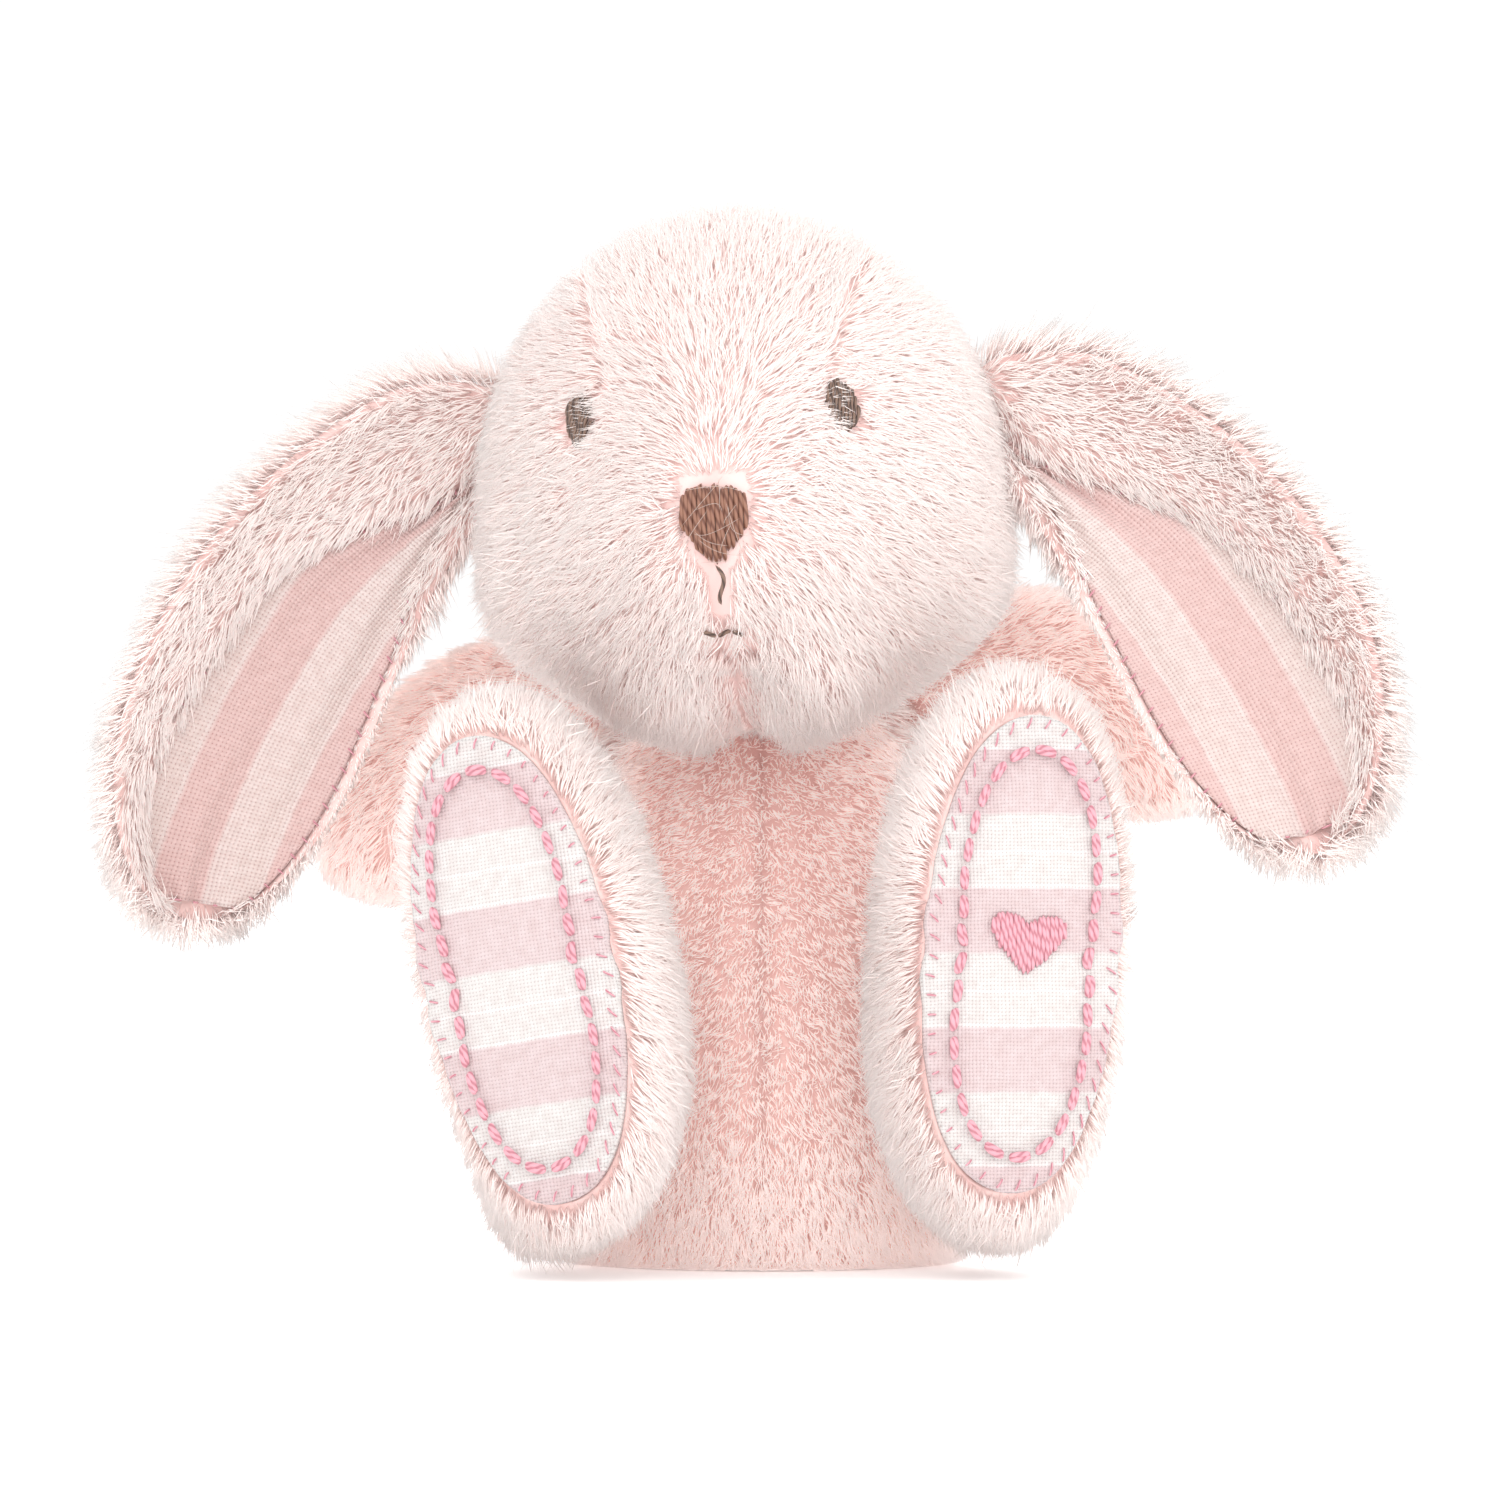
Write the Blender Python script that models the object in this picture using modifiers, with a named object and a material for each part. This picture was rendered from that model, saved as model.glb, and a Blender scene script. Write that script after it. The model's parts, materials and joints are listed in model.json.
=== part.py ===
"""A small plush rabbit that sits on its base, in metres.

+Z is up, the rabbit faces -Y, and the origin is the middle of the flat base panel. Left and right are
the rabbit's own, so its left side is at +X. Every stuffed form is a closed shape; its plush cover is cut
from it in panels along the seams, and its filling is the same shape drawn in by the cover's thickness.
"""

import math

import bmesh
import bpy
import numpy as np
from mathutils import Matrix, Vector

MM = 0.001

# Head
HEAD_WIDTH = 48.5 * MM
HEAD_DEPTH = 44.0 * MM
HEAD_HEIGHT = 51.0 * MM
HEAD_YAW = math.radians(-6.0)
HEAD_ROLL = math.radians(-3.0)
GUSSET_HALF_WIDTH = 6.8 * MM
GUSSET_WIDENING = 0.343

# Face
EYE_WIDTH = 3.2 * MM
EYE_HEIGHT = 5.2 * MM
NOSE_WIDTH = 7.2 * MM
NOSE_HEIGHT = 9.0 * MM
EMBROIDERY = 0.7 * MM
MOUTH_THREAD_RADIUS = 0.3 * MM
LIP_LENGTH = 3.2 * MM
MOUTH_DROP = 3.8 * MM
MOUTH_WIDTH = 4.6 * MM

# Torso
TORSO_WIDTH = 43.0 * MM
TORSO_DEPTH = 36.0 * MM
TORSO_HEIGHT = 62.0 * MM
TORSO_PEAR = 0.25
TORSO_LEAN_BACK = 7.0 * MM
TORSO_SINK = 9.0 * MM
BASE_LIFT = 0.3 * MM
BASE_PANEL = 1.2 * MM
BASE_TUCK = 1.3 * MM
POUCH_HEIGHT = 16.0 * MM

# Arms
ARM_LENGTH = 35.0 * MM
ARM_DIAMETER = 15.0 * MM
PAW_GROWTH = 0.12
ARM_END_FULLNESS = 0.62

# Legs
FOOT_LENGTH = 54.0 * MM
FOOT_WIDTH = 22.0 * MM
FOOT_THICKNESS = 17.0 * MM
FOOT_FULLNESS = 0.9
SOLE_SHARE = 0.84
SOLE_THICKNESS = 1.0 * MM
SOLE_INSET = 0.6 * MM
STITCH_INSET = 2.6 * MM
STITCH_RADIUS = 0.45 * MM
MOTIF_SIZE = 7.6 * MM
MOTIF_RISE = 1.5 * MM
MOTIF_POINTS = 24

# Ears
EAR_LENGTH = 63.0 * MM
EAR_WIDTH = 24.5 * MM
EAR_ROOT_WIDTH = 13.0 * MM
EAR_WIDEST_AT = 0.66
EAR_ROOT_OPENS = 0.70
EAR_ROOT_FULLNESS = 0.9
EAR_GROWTH = 1.3
EAR_CUP = 3.6 * MM
EAR_PLUSH = 2.8 * MM
EAR_LINING = 0.9 * MM
EAR_RIM = 1.2 * MM
EAR_HINGE_INSET = 2.0 * MM

# Neck and tail
NECK_DIAMETER = 15.0 * MM
NECK_THREAD_RADIUS = 0.8 * MM
TAIL_DIAMETER = 13.0 * MM
TAIL_TUCK = 0.8 * MM

# Fabric and fits
PLUSH = 1.6 * MM
SEAM_GAP = 0.3 * MM
LAYER_GAP = 0.35 * MM
FILLING_GAP = 1.2 * MM
JOINT_GAP = 0.45 * MM
EAR_GAP = 0.9 * MM
TOUCH = 0.001 * MM

# Where pieces meet, as directions in each form's own frame, and how each side is posed
CURVE_STEPS = 200
FACING_STEPS = 40
NECK_ON_TORSO = (0.01, -0.48, 0.87)
TAIL_ON_TORSO = (0.0, 0.95, -0.38)
EAR_ON_HEAD = (0.93, 0.24, 0.30)
SHOULDER_ON_TORSO = {"left": (0.60, 0.22, 0.78), "right": (0.66, 0.22, 0.72)}
HIP_ON_TORSO = (0.72, -0.52, -0.46)
ARM_TURNS = {
    "left": (math.radians(38), math.radians(-75), 1.0),
    "right": (math.radians(-5), math.radians(-70), 1.0),
}
EAR_TURNS = {
    "left": (math.radians(-14), math.radians(-75), 0.55),
    "right": (math.radians(-16), math.radians(-82), 0.6),
}
EAR_FORWARD = {"left": math.radians(8), "right": math.radians(8)}
EAR_TIP_FORWARD = {"left": math.radians(20), "right": 0.0}
EAR_OUTER_ROLL = 1.6
FOOT_FROM_HIP = {
    "left": (1.0 * MM, -21.0 * MM, 22.3 * MM),
    "right": (-1.0 * MM, -21.0 * MM, 20.8 * MM),
}
FOOT_YAW = {"left": math.radians(16), "right": math.radians(20)}
FOOT_LEAN = {"left": math.radians(5.5), "right": math.radians(14.5)}
FOOT_TILT = math.radians(-4)
SHANK_DIRECTION = (0.0, 0.62, -0.78)
SHANK_REACH = 0.74
SHANK_EDGE = 1.6
HIP_BALL = 6.0 * MM

COLOURS = {
    "plush": (0.91, 0.79, 0.76),
    "belly_plush": (0.86, 0.64, 0.61),
    "filling": (0.90, 0.90, 0.88),
    "pouch": (0.80, 0.78, 0.72),
    "lining": (0.90, 0.70, 0.68),
    "sole": (0.90, 0.80, 0.80),
    "embroidery": (0.35, 0.17, 0.11),
    "eye_thread": (0.23, 0.17, 0.14),
    "pink_thread": (0.83, 0.33, 0.45),
    "sewing_thread": (0.85, 0.68, 0.66),
}
SIDES = {"left": 1.0, "right": -1.0}


# Forms: each takes unit directions, one to a row, and gives points in metres.

def unit(vector):
    vector = np.asarray(vector, float)
    return vector / np.linalg.norm(vector)


def pushed(points, directions, pushes):
    """Points moved by soft pushes; each fades with the distance from its direction as a bell curve."""
    for centre, reach, shift in pushes:
        away = ((directions - unit(centre)) ** 2).sum(axis=1)
        points = points + np.exp(-away / reach**2)[:, None] * np.multiply(shift, MM)
    return points


def both_sides(centre, reach, shift):
    return [
        (centre, reach, shift),
        ((-centre[0], centre[1], centre[2]), reach, (-shift[0], shift[1], shift[2])),
    ]


HEAD_PUSHES = [
    *both_sides((0.75, -0.2, -0.6), 0.50, (3.0, 0.0, 0.0)),  # cheeks
    ((0.0, -0.93, -0.34), 0.55, (0.0, -7.0, -0.5)),  # muzzle
    *both_sides((0.33, -0.62, -0.72), 0.26, (0.8, -1.5, -3.0)),  # chin lobes
    ((0.0, -0.70, -0.72), 0.15, (0.0, 2.0, 1.5)),  # dip under the mouth
    ((0.0, 0.72, -0.70), 0.55, (0.0, -2.0, 3.0)),  # flat where the neck is sewn on
]


def head_form(directions):
    radii = np.array([HEAD_WIDTH, HEAD_DEPTH, HEAD_HEIGHT]) / 2
    return pushed(directions * radii, directions, HEAD_PUSHES)


TORSO_PUSHES = [
    ((0.0, -0.9, -0.35), 0.7, (0.0, -3.0, 0.0)),  # belly
    *both_sides((0.62, 0.25, 0.74), 0.45, (3.0, 1.0, 2.0)),  # shoulders
]


def torso_form(directions):
    half_height = (TORSO_HEIGHT + TORSO_SINK) / 2
    pear = 1 - TORSO_PEAR * directions[:, 2:]
    points = directions * [TORSO_WIDTH / 2, TORSO_DEPTH / 2, half_height]
    points[:, :2] *= pear
    points[:, 2] += half_height - TORSO_SINK
    points[:, 1] += TORSO_LEAN_BACK * np.clip(points[:, 2] / TORSO_HEIGHT, 0, 1) ** 1.5
    return pushed(points, directions, TORSO_PUSHES)


def swept(directions, length, turns, half_width, half_depth):
    """A tube along a curve in the XZ plane, from the origin, closed at both ends.

    The unit sphere's +Z pole is the start. Turns holds the curve's angle above +X at its start and end,
    and the power of the length that the angle follows. The half sizes take the share of the length and
    how far the sphere has opened there."""
    turn_from, turn_to, power = turns
    share = (1 - directions[:, 2]) / 2
    opened = np.sqrt(np.clip(1 - directions[:, 2] ** 2, 1e-12, 1))
    steps = np.linspace(0, 1, CURVE_STEPS + 1)
    angles = turn_from + (turn_to - turn_from) * steps**power
    run = np.cumsum(np.stack([np.cos(angles), np.sin(angles)], axis=1), axis=0)
    run = (run - run[0]) * length / CURVE_STEPS
    angle = turn_from + (turn_to - turn_from) * share**power
    across = half_width(share, opened) * directions[:, 0] / opened
    depth = half_depth(share, opened) * directions[:, 1] / opened
    along_x = np.interp(share, steps, run[:, 0]) - np.sin(angle) * across
    along_z = np.interp(share, steps, run[:, 1]) + np.cos(angle) * across
    return np.stack([along_x, depth, along_z], axis=1)


def arm_form(directions, side):
    def radius(share, opened):
        return ARM_DIAMETER / 2 * (1 + PAW_GROWTH * share) * opened**ARM_END_FULLNESS

    points = swept(directions, ARM_LENGTH, ARM_TURNS[side], radius, radius)
    return points * [SIDES[side], 1, 1]


def ear_half_width(share, opened):
    """Grows in an easy curve from the root to the widest place, then closes as half an ellipse."""
    grow = np.sin(np.clip(share / EAR_WIDEST_AT, 0, 1) * math.pi / 2) ** EAR_GROWTH
    close = np.clip((share - EAR_WIDEST_AT) / (1 - EAR_WIDEST_AT), 0, 1)
    width = EAR_ROOT_WIDTH + (EAR_WIDTH - EAR_ROOT_WIDTH) * grow
    root_round = np.clip(opened / EAR_ROOT_OPENS, 0, 1) ** EAR_ROOT_FULLNESS
    return width / 2 * np.where(share < 0.5, root_round, np.sqrt(1 - close**2))


def ear_form(directions, side, back, front, inset):
    """A leaf between two depths behind the ear's middle sheet, cupped forwards, its edge drawn in."""

    def width(share, opened):
        return np.maximum(ear_half_width(share, opened) - inset * np.clip(opened / EAR_ROOT_OPENS, 0, 1), 0)

    opened = np.sqrt(np.clip(1 - directions[:, 2] ** 2, 1e-12, 1))
    points = swept(directions, EAR_LENGTH, EAR_TURNS[side], width, width)
    share = (1 - directions[:, 2]) / 2
    across = directions[:, 0] / opened * width(share, opened) / (EAR_WIDTH / 2)
    thinning = np.clip(opened / 0.3, 0, 1) ** 0.5
    points[:, 1] = (back + front) / 2 + (back - front) / 2 * directions[:, 1] / opened * thinning
    points[:, 1] -= EAR_CUP * across**2 * np.where(across > 0, EAR_OUTER_ROLL, 1.0)
    return points * [SIDES[side], 1, 1]


FOOT_DEPTH_RADIUS = FOOT_THICKNESS / (1 + math.sqrt(1 - SOLE_SHARE**2))
SOLE_AHEAD = FOOT_THICKNESS - FOOT_DEPTH_RADIUS


def foot_form(directions, shank):
    """The upright foot about its own middle, its heel's back pushed out by shank to meet the hip."""
    radii = np.array([FOOT_WIDTH, 2 * FOOT_DEPTH_RADIUS, FOOT_LENGTH]) / 2
    points = np.abs(directions) ** FOOT_FULLNESS * np.sign(directions) * radii
    away = ((directions - unit(SHANK_DIRECTION)) ** 2).sum(axis=1) / SHANK_REACH**2
    return points + np.exp(-(away**SHANK_EDGE))[:, None] * np.array(shank)


def tail_form(directions):
    return directions * TAIL_DIAMETER / 2


def one_point(form, direction):
    return Vector(form(unit(direction)[None, :])[0])


def normal_at(form, direction):
    """The form's outward normal, from two short steps along its surface."""
    middle = Vector(unit(direction))
    side = middle.orthogonal().normalized()
    other = middle.cross(side)
    step = 0.01
    here = one_point(form, middle)
    first = one_point(form, middle + side * step) - here
    second = one_point(form, middle + other * step) - here
    return first.cross(second).normalized()


def facing(form, normal):
    """The direction in which a rounded form's surface has this normal, closed in on step by step."""
    direction = normal.copy()
    for _ in range(FACING_STEPS):
        direction = (direction + (normal - normal_at(form, direction)) / 2).normalized()
    return direction


# Building: meshes are made where they lie, in metres, and hang on an empty at their joint.

def clear_scene():
    for obj in list(bpy.data.objects):
        bpy.data.objects.remove(obj, do_unlink=True)


def make_materials():
    made = {}
    for name, colour in COLOURS.items():
        material = bpy.data.materials.new(name)
        material.use_nodes = True
        shader = material.node_tree.nodes["Principled BSDF"]
        shader.inputs["Base Color"].default_value = (*colour, 1.0)
        shader.inputs["Roughness"].default_value = 0.9
        shader.inputs["Metallic"].default_value = 0.0
        made[name] = material
    return made


clear_scene()
MATERIALS = make_materials()
PARTS = bpy.data.collections.new("plush_rabbit")
bpy.context.scene.collection.children.link(PARTS)


def joint_empty(name, place):
    empty = bpy.data.objects.new(name, None)
    empty.empty_display_size = 5 * MM
    empty.location = place
    PARTS.objects.link(empty)
    return empty


def add_piece(name, bm, empty, material):
    """Turns a bmesh in world metres into an object whose origin is its body's joint."""
    bmesh.ops.translate(bm, verts=bm.verts, vec=-empty.location)
    mesh = bpy.data.meshes.new(name)
    bm.to_mesh(mesh)
    bm.free()
    mesh.shade_smooth()
    mesh.materials.append(MATERIALS[material])
    piece = bpy.data.objects.new(name, mesh)
    piece.parent = empty
    PARTS.objects.link(piece)
    return piece


def thicken(piece, thickness, offset=-1.0):
    solid = piece.modifiers.new("thickness", "SOLIDIFY")
    solid.thickness = thickness
    solid.offset = offset
    return solid


def formed(form, place, segments, rings, inset=0.0):
    """A closed bmesh of the form, put in the world by place and drawn in by inset."""
    bm = bmesh.new()
    bmesh.ops.create_uvsphere(bm, u_segments=segments, v_segments=rings, radius=1.0)
    bm.verts.ensure_lookup_table()
    directions = np.array([vert.co.normalized() for vert in bm.verts])
    for vert, point in zip(bm.verts, form(directions)):
        vert.co = point
    bm.normal_update()
    bmesh.ops.recalc_face_normals(bm, faces=bm.faces)
    bm.normal_update()
    if inset:
        drawn_in = [vert.co - vert.normal * inset for vert in bm.verts]
        for vert, point in zip(bm.verts, drawn_in):
            vert.co = point
    bmesh.ops.transform(bm, matrix=place, verts=bm.verts)
    bm.normal_update()
    return bm


def cut(bm, point, normal):
    """Cuts a solid at the plane, dropping what lies on its normal's side, and closes it flat there."""
    geometry = [*bm.verts, *bm.edges, *bm.faces]
    found = bmesh.ops.bisect_plane(
        bm, geom=geometry, dist=1e-7, plane_co=point, plane_no=normal, clear_outer=True
    )
    rim = [item for item in found["geom_cut"] if isinstance(item, bmesh.types.BMEdge)]
    rim = [edge for edge in rim if edge.is_boundary]
    bmesh.ops.triangle_fill(bm, edges=rim, use_beauty=True, normal=normal)
    bmesh.ops.recalc_face_normals(bm, faces=bm.faces)


def add_panel(name, bm, cuts, empty, material):
    """A cover panel: the form as a shell of plush, between seams that each keep half the seam gap."""
    bmesh.ops.solidify(bm, geom=bm.faces[:], thickness=PLUSH)
    for point, normal in cuts:
        normal = Vector(normal).normalized()
        cut(bm, Vector(point) - normal * SEAM_GAP / 2, normal)
    return add_piece(name, bm, empty, material)


def placed(point, *turns):
    matrix = Matrix.Translation(point)
    for angle, axis in turns:
        matrix = matrix @ Matrix.Rotation(angle, 4, axis)
    return matrix


def add_pad(name, form, place, direction, outline, empty, material, rings=3, segments=20):
    """Embroidery: a disc of rings laid over a form, a gap above the cover, and thickened outwards.

    The outline gives the disc's half width and height, in metres, for an angle about its middle."""
    middle = Vector(unit(direction))
    up = (Vector((0, 0, 1)) - middle * middle.z).normalized()
    side = up.cross(middle)
    reach = one_point(form, middle).length
    bm = bmesh.new()
    bmesh.ops.create_circle(bm, cap_ends=True, cap_tris=True, segments=segments, radius=1.0)
    spokes = [edge for edge in bm.edges if not edge.is_boundary]
    bmesh.ops.subdivide_edges(bm, edges=spokes, cuts=rings - 1)
    for vert in bm.verts:
        angle = math.atan2(vert.co.y, vert.co.x)
        across, height = outline(angle)
        far = vert.co.length
        looks = (middle + side * across * far / reach + up * height * far / reach).normalized()
        vert.co = one_point(form, looks) + normal_at(form, looks) * LAYER_GAP
    bmesh.ops.transform(bm, matrix=place, verts=bm.verts)
    bmesh.ops.recalc_face_normals(bm, faces=bm.faces)
    outwards = place.to_3x3() @ normal_at(form, middle)
    bm.faces.ensure_lookup_table()
    bm.normal_update()
    if bm.faces[0].normal.dot(outwards) < 0:
        bmesh.ops.reverse_faces(bm, faces=bm.faces)
    return thicken(add_piece(name, bm, empty, material), EMBROIDERY, offset=1.0)


def add_thread(name, points, radius, empty, material, closed=False):
    """A thread as a bevelled poly curve; a closed one is a ring."""
    curve = bpy.data.curves.new(name, "CURVE")
    curve.dimensions = "3D"
    curve.bevel_depth = radius
    curve.bevel_resolution = 1
    curve.use_fill_caps = True
    spline = curve.splines.new("POLY")
    spline.points.add(len(points) - 1)
    spline.use_cyclic_u = closed
    for control, point in zip(spline.points, points):
        control.co = (*(Vector(point) - empty.location), 1.0)
    curve.materials.append(MATERIALS[material])
    thread = bpy.data.objects.new(name, curve)
    thread.parent = empty
    PARTS.objects.link(thread)
    return thread


# Torso: two front panels, two back panels and a flat base, over filling that sits on a pellet pouch.

TORSO_PLACE = Matrix.Identity(4)
TORSO_EMPTY = joint_empty("torso_frame", (0, 0, 0))
SIDE_SEAM_Y = 2.0 * MM


def base_outline_scale():
    """How far the torso's section at the base reaches, against its full width and depth."""
    half_height = (TORSO_HEIGHT + TORSO_SINK) / 2
    height = (BASE_LIFT - (half_height - TORSO_SINK)) / half_height
    return math.sqrt(1 - height**2) * (1 - TORSO_PEAR * height)


def add_torso():
    for side, sign in SIDES.items():
        for end, facing in {"front": -1.0, "back": 1.0}.items():
            cuts = [
                ((0, 0, 0), (-sign, 0, 0)),
                ((0, SIDE_SEAM_Y, 0), (0, -facing, 0)),
                ((0, 0, BASE_LIFT), (0, 0, -1)),
            ]
            colour = "belly_plush" if end == "front" else "plush"
            shape = formed(torso_form, TORSO_PLACE, 20, 14)
            add_panel(f"torso_{end}_{side}", shape, cuts, TORSO_EMPTY, colour)
    reach = base_outline_scale()
    bm = bmesh.new()
    bmesh.ops.create_cone(
        bm, cap_ends=True, segments=32, radius1=1.0, radius2=1.0, depth=BASE_PANEL
    )
    inside = PLUSH + BASE_TUCK
    widths = (TORSO_WIDTH / 2 * reach - inside, TORSO_DEPTH / 2 * reach - inside, 1.0)
    bmesh.ops.scale(bm, vec=widths, verts=bm.verts)
    bmesh.ops.translate(bm, vec=(0, 0, BASE_PANEL / 2), verts=bm.verts)
    add_piece("torso_base", bm, TORSO_EMPTY, "plush")
    inset = PLUSH + FILLING_GAP
    floor = BASE_PANEL + LAYER_GAP
    pouch = formed(torso_form, TORSO_PLACE, 16, 12, inset)
    cut(pouch, (0, 0, floor), (0, 0, -1))
    cut(pouch, (0, 0, floor + POUCH_HEIGHT), (0, 0, 1))
    add_piece("pellet_pouch", pouch, TORSO_EMPTY, "pouch")
    filling = formed(torso_form, TORSO_PLACE, 16, 12, inset)
    cut(filling, (0, 0, floor + POUCH_HEIGHT + LAYER_GAP), (0, 0, -1))
    add_piece("torso_filling", filling, TORSO_EMPTY, "filling")


add_torso()


# Neck: a ring of ladder stitches between the torso's top and the head.

def neck_frame():
    """The neck's place on top of the torso, with its Z along the torso's normal there."""
    point = one_point(torso_form, NECK_ON_TORSO)
    normal = normal_at(torso_form, NECK_ON_TORSO)
    middle = point + normal * (JOINT_GAP + NECK_THREAD_RADIUS)
    return Matrix.Translation(middle) @ normal.to_track_quat("Z", "Y").to_matrix().to_4x4()


NECK_PLACE = neck_frame()
NECK_EMPTY = joint_empty("neck_turn_axis", NECK_PLACE.translation)


def add_neck():
    bm = bmesh.new()
    bmesh.ops.create_uvsphere(bm, u_segments=20, v_segments=8, radius=1.0)
    sizes = (NECK_DIAMETER / 2, NECK_DIAMETER / 2, NECK_THREAD_RADIUS)
    bmesh.ops.scale(bm, vec=sizes, verts=bm.verts)
    bmesh.ops.transform(bm, matrix=NECK_PLACE, verts=bm.verts)
    add_piece("neck_stitching", bm, NECK_EMPTY, "sewing_thread")


add_neck()


# Head: two side panels and a gusset from the nose over the top to the nape, round one filling.

def head_frame():
    """The head's place: the spot midway on its underside that faces the neck sits a gap above it."""
    turned = Matrix.Rotation(HEAD_YAW, 4, "Z") @ Matrix.Rotation(HEAD_ROLL, 4, "Y")
    neck_up = NECK_PLACE.to_3x3() @ Vector((0, 0, 1))
    downwards = -Vector((0, neck_up.y, neck_up.z)).normalized()
    meets = turned @ one_point(head_form, facing(head_form, downwards))
    lift = neck_up * (NECK_THREAD_RADIUS + JOINT_GAP)
    return Matrix.Translation(NECK_PLACE.translation + lift - meets) @ turned


HEAD_PLACE = head_frame()
HEAD_EMPTY = joint_empty("head_nod_axis", NECK_PLACE.translation)
NOSE_ON_HEAD = (0.0, -0.98, -0.17)
EYE_ON_HEAD = (0.51, -0.81, 0.27)


def gusset_plane(sign):
    """A point and a normal of the seam plane beside the gusset, which is wider towards the forehead."""
    point = HEAD_PLACE @ Vector((sign * GUSSET_HALF_WIDTH, 0, 0))
    normal = HEAD_PLACE.to_3x3() @ Vector((sign, 0, -GUSSET_WIDENING))
    return point, normal


def add_head():
    middle = HEAD_PLACE.translation
    sideways = HEAD_PLACE.to_3x3() @ Vector((1, 0, 0))
    gusset = formed(head_form, HEAD_PLACE, 24, 18)
    add_panel("head_gusset", gusset, [gusset_plane(1), gusset_plane(-1)], HEAD_EMPTY, "plush")
    for side, sign in SIDES.items():
        point, normal = gusset_plane(sign)
        cuts = [(point, -normal), (middle, -sign * sideways)]
        shape = formed(head_form, HEAD_PLACE, 24, 18)
        add_panel(f"head_side_{side}", shape, cuts, HEAD_EMPTY, "plush")
        looks = (sign * EYE_ON_HEAD[0], *EYE_ON_HEAD[1:])
        add_pad(f"eye_{side}", head_form, HEAD_PLACE, looks, eye_outline, HEAD_EMPTY, "eye_thread", 2, 14)
    filling = formed(head_form, HEAD_PLACE, 18, 12, PLUSH + FILLING_GAP)
    add_piece("head_filling", filling, HEAD_EMPTY, "filling")
    add_pad("nose", head_form, HEAD_PLACE, NOSE_ON_HEAD, nose_outline, HEAD_EMPTY, "embroidery", 3, 20)
    add_mouth()


def eye_outline(angle):
    return EYE_WIDTH / 2 * math.cos(angle), EYE_HEIGHT / 2 * math.sin(angle)


def nose_outline(angle):
    """A shield: a full round top and sides that run in to a blunt point below."""
    across, height = math.cos(angle), math.sin(angle)
    narrowing = 1 - 0.55 * max(0.0, -height) ** 1.5
    return NOSE_WIDTH / 2 * across * narrowing, NOSE_HEIGHT / 2 * math.copysign(abs(height) ** 0.8, height)


def on_face(across, down):
    """A place over the cover at a distance across and below the middle of the nose."""
    reach = one_point(head_form, NOSE_ON_HEAD).length
    looks = Vector(unit(NOSE_ON_HEAD)) + Vector((across, 0, -down)) / reach
    lift = LAYER_GAP + MOUTH_THREAD_RADIUS
    return HEAD_PLACE @ (one_point(head_form, looks) + normal_at(head_form, looks) * lift)


def add_mouth():
    """A thread straight down from the nose, and a short stitch across below it."""
    start = NOSE_HEIGHT / 2 + MOUTH_THREAD_RADIUS + LAYER_GAP + 0.4 * MM
    down = [on_face(0, start + LIP_LENGTH * step / 5) for step in range(6)]
    add_thread("lip_thread", down, MOUTH_THREAD_RADIUS, HEAD_EMPTY, "embroidery")
    below = start + LIP_LENGTH + MOUTH_DROP
    across = [on_face(MOUTH_WIDTH * (step / 6 - 0.5), below) for step in range(7)]
    add_thread("mouth_stitch", across, MOUTH_THREAD_RADIUS, HEAD_EMPTY, "embroidery")


add_head()


# Ears: a plush back and a striped gauze lining each, sewn to the side of the head at the root.

def ear_frame(side):
    """The ear's root, a gap off the head; its hinge is EAR_HINGE_INSET along it."""
    sign = SIDES[side]
    looks = (sign * EAR_ON_HEAD[0], *EAR_ON_HEAD[1:])
    root = HEAD_PLACE @ (one_point(head_form, looks) + normal_at(head_form, looks) * EAR_GAP)
    return placed(root, (-sign * EAR_FORWARD[side], "Z"), (-EAR_TIP_FORWARD[side], "X"))


def add_ear(side):
    place = ear_frame(side)
    start = EAR_TURNS[side][0]
    along = Vector((SIDES[side] * math.cos(start), 0, math.sin(start)))
    hinge = place @ (along * EAR_HINGE_INSET)
    empty = joint_empty(f"ear_{side}_axis", hinge)
    half_gap = LAYER_GAP / 2
    layers = {"plush": (EAR_PLUSH, half_gap, 0.0), "lining": (-half_gap, -EAR_LINING, EAR_RIM)}
    for layer, (back, front, inset) in layers.items():
        shape = formed(lambda d: ear_form(d, side, back, front, inset), place, 16, 14)
        add_piece(f"ear_{side}_{layer}", shape, empty, layer)


for ear_side in SIDES:
    add_ear(ear_side)


# Arms: a front and a back panel round one filling, sewn on at the shoulder.

def arm_frame(side):
    """The arm's start, placed so that its round end clears the shoulder by the joint gap."""
    sign = SIDES[side]
    looks = (sign * SHOULDER_ON_TORSO[side][0], *SHOULDER_ON_TORSO[side][1:])
    normal = normal_at(torso_form, looks)
    hinge = one_point(torso_form, looks) + normal * (JOINT_GAP + ARM_DIAMETER / 2)
    start = ARM_TURNS[side][0]
    along = Vector((sign * math.cos(start), 0, math.sin(start)))
    return hinge, Matrix.Translation(hinge - along * ARM_DIAMETER / 2)


def add_arm(side):
    hinge, place = arm_frame(side)
    empty = joint_empty(f"arm_{side}_axis", hinge)
    for face, facing in {"front": -1.0, "back": 1.0}.items():
        shape = formed(lambda d: arm_form(d, side), place, 14, 10)
        cuts = [(place.translation, (0, -facing, 0))]
        add_panel(f"arm_{side}_{face}", shape, cuts, empty, "belly_plush")
    filling = formed(lambda d: arm_form(d, side), place, 10, 8, PLUSH + FILLING_GAP)
    add_piece(f"arm_{side}_filling", filling, empty, "filling")


for arm_side in SIDES:
    add_arm(arm_side)


# Legs: an inner and an outer panel, an oval cotton sole in the front opening with a ring of running
# stitches on it, and one filling. The left sole also has a small embroidered heart.

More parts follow.
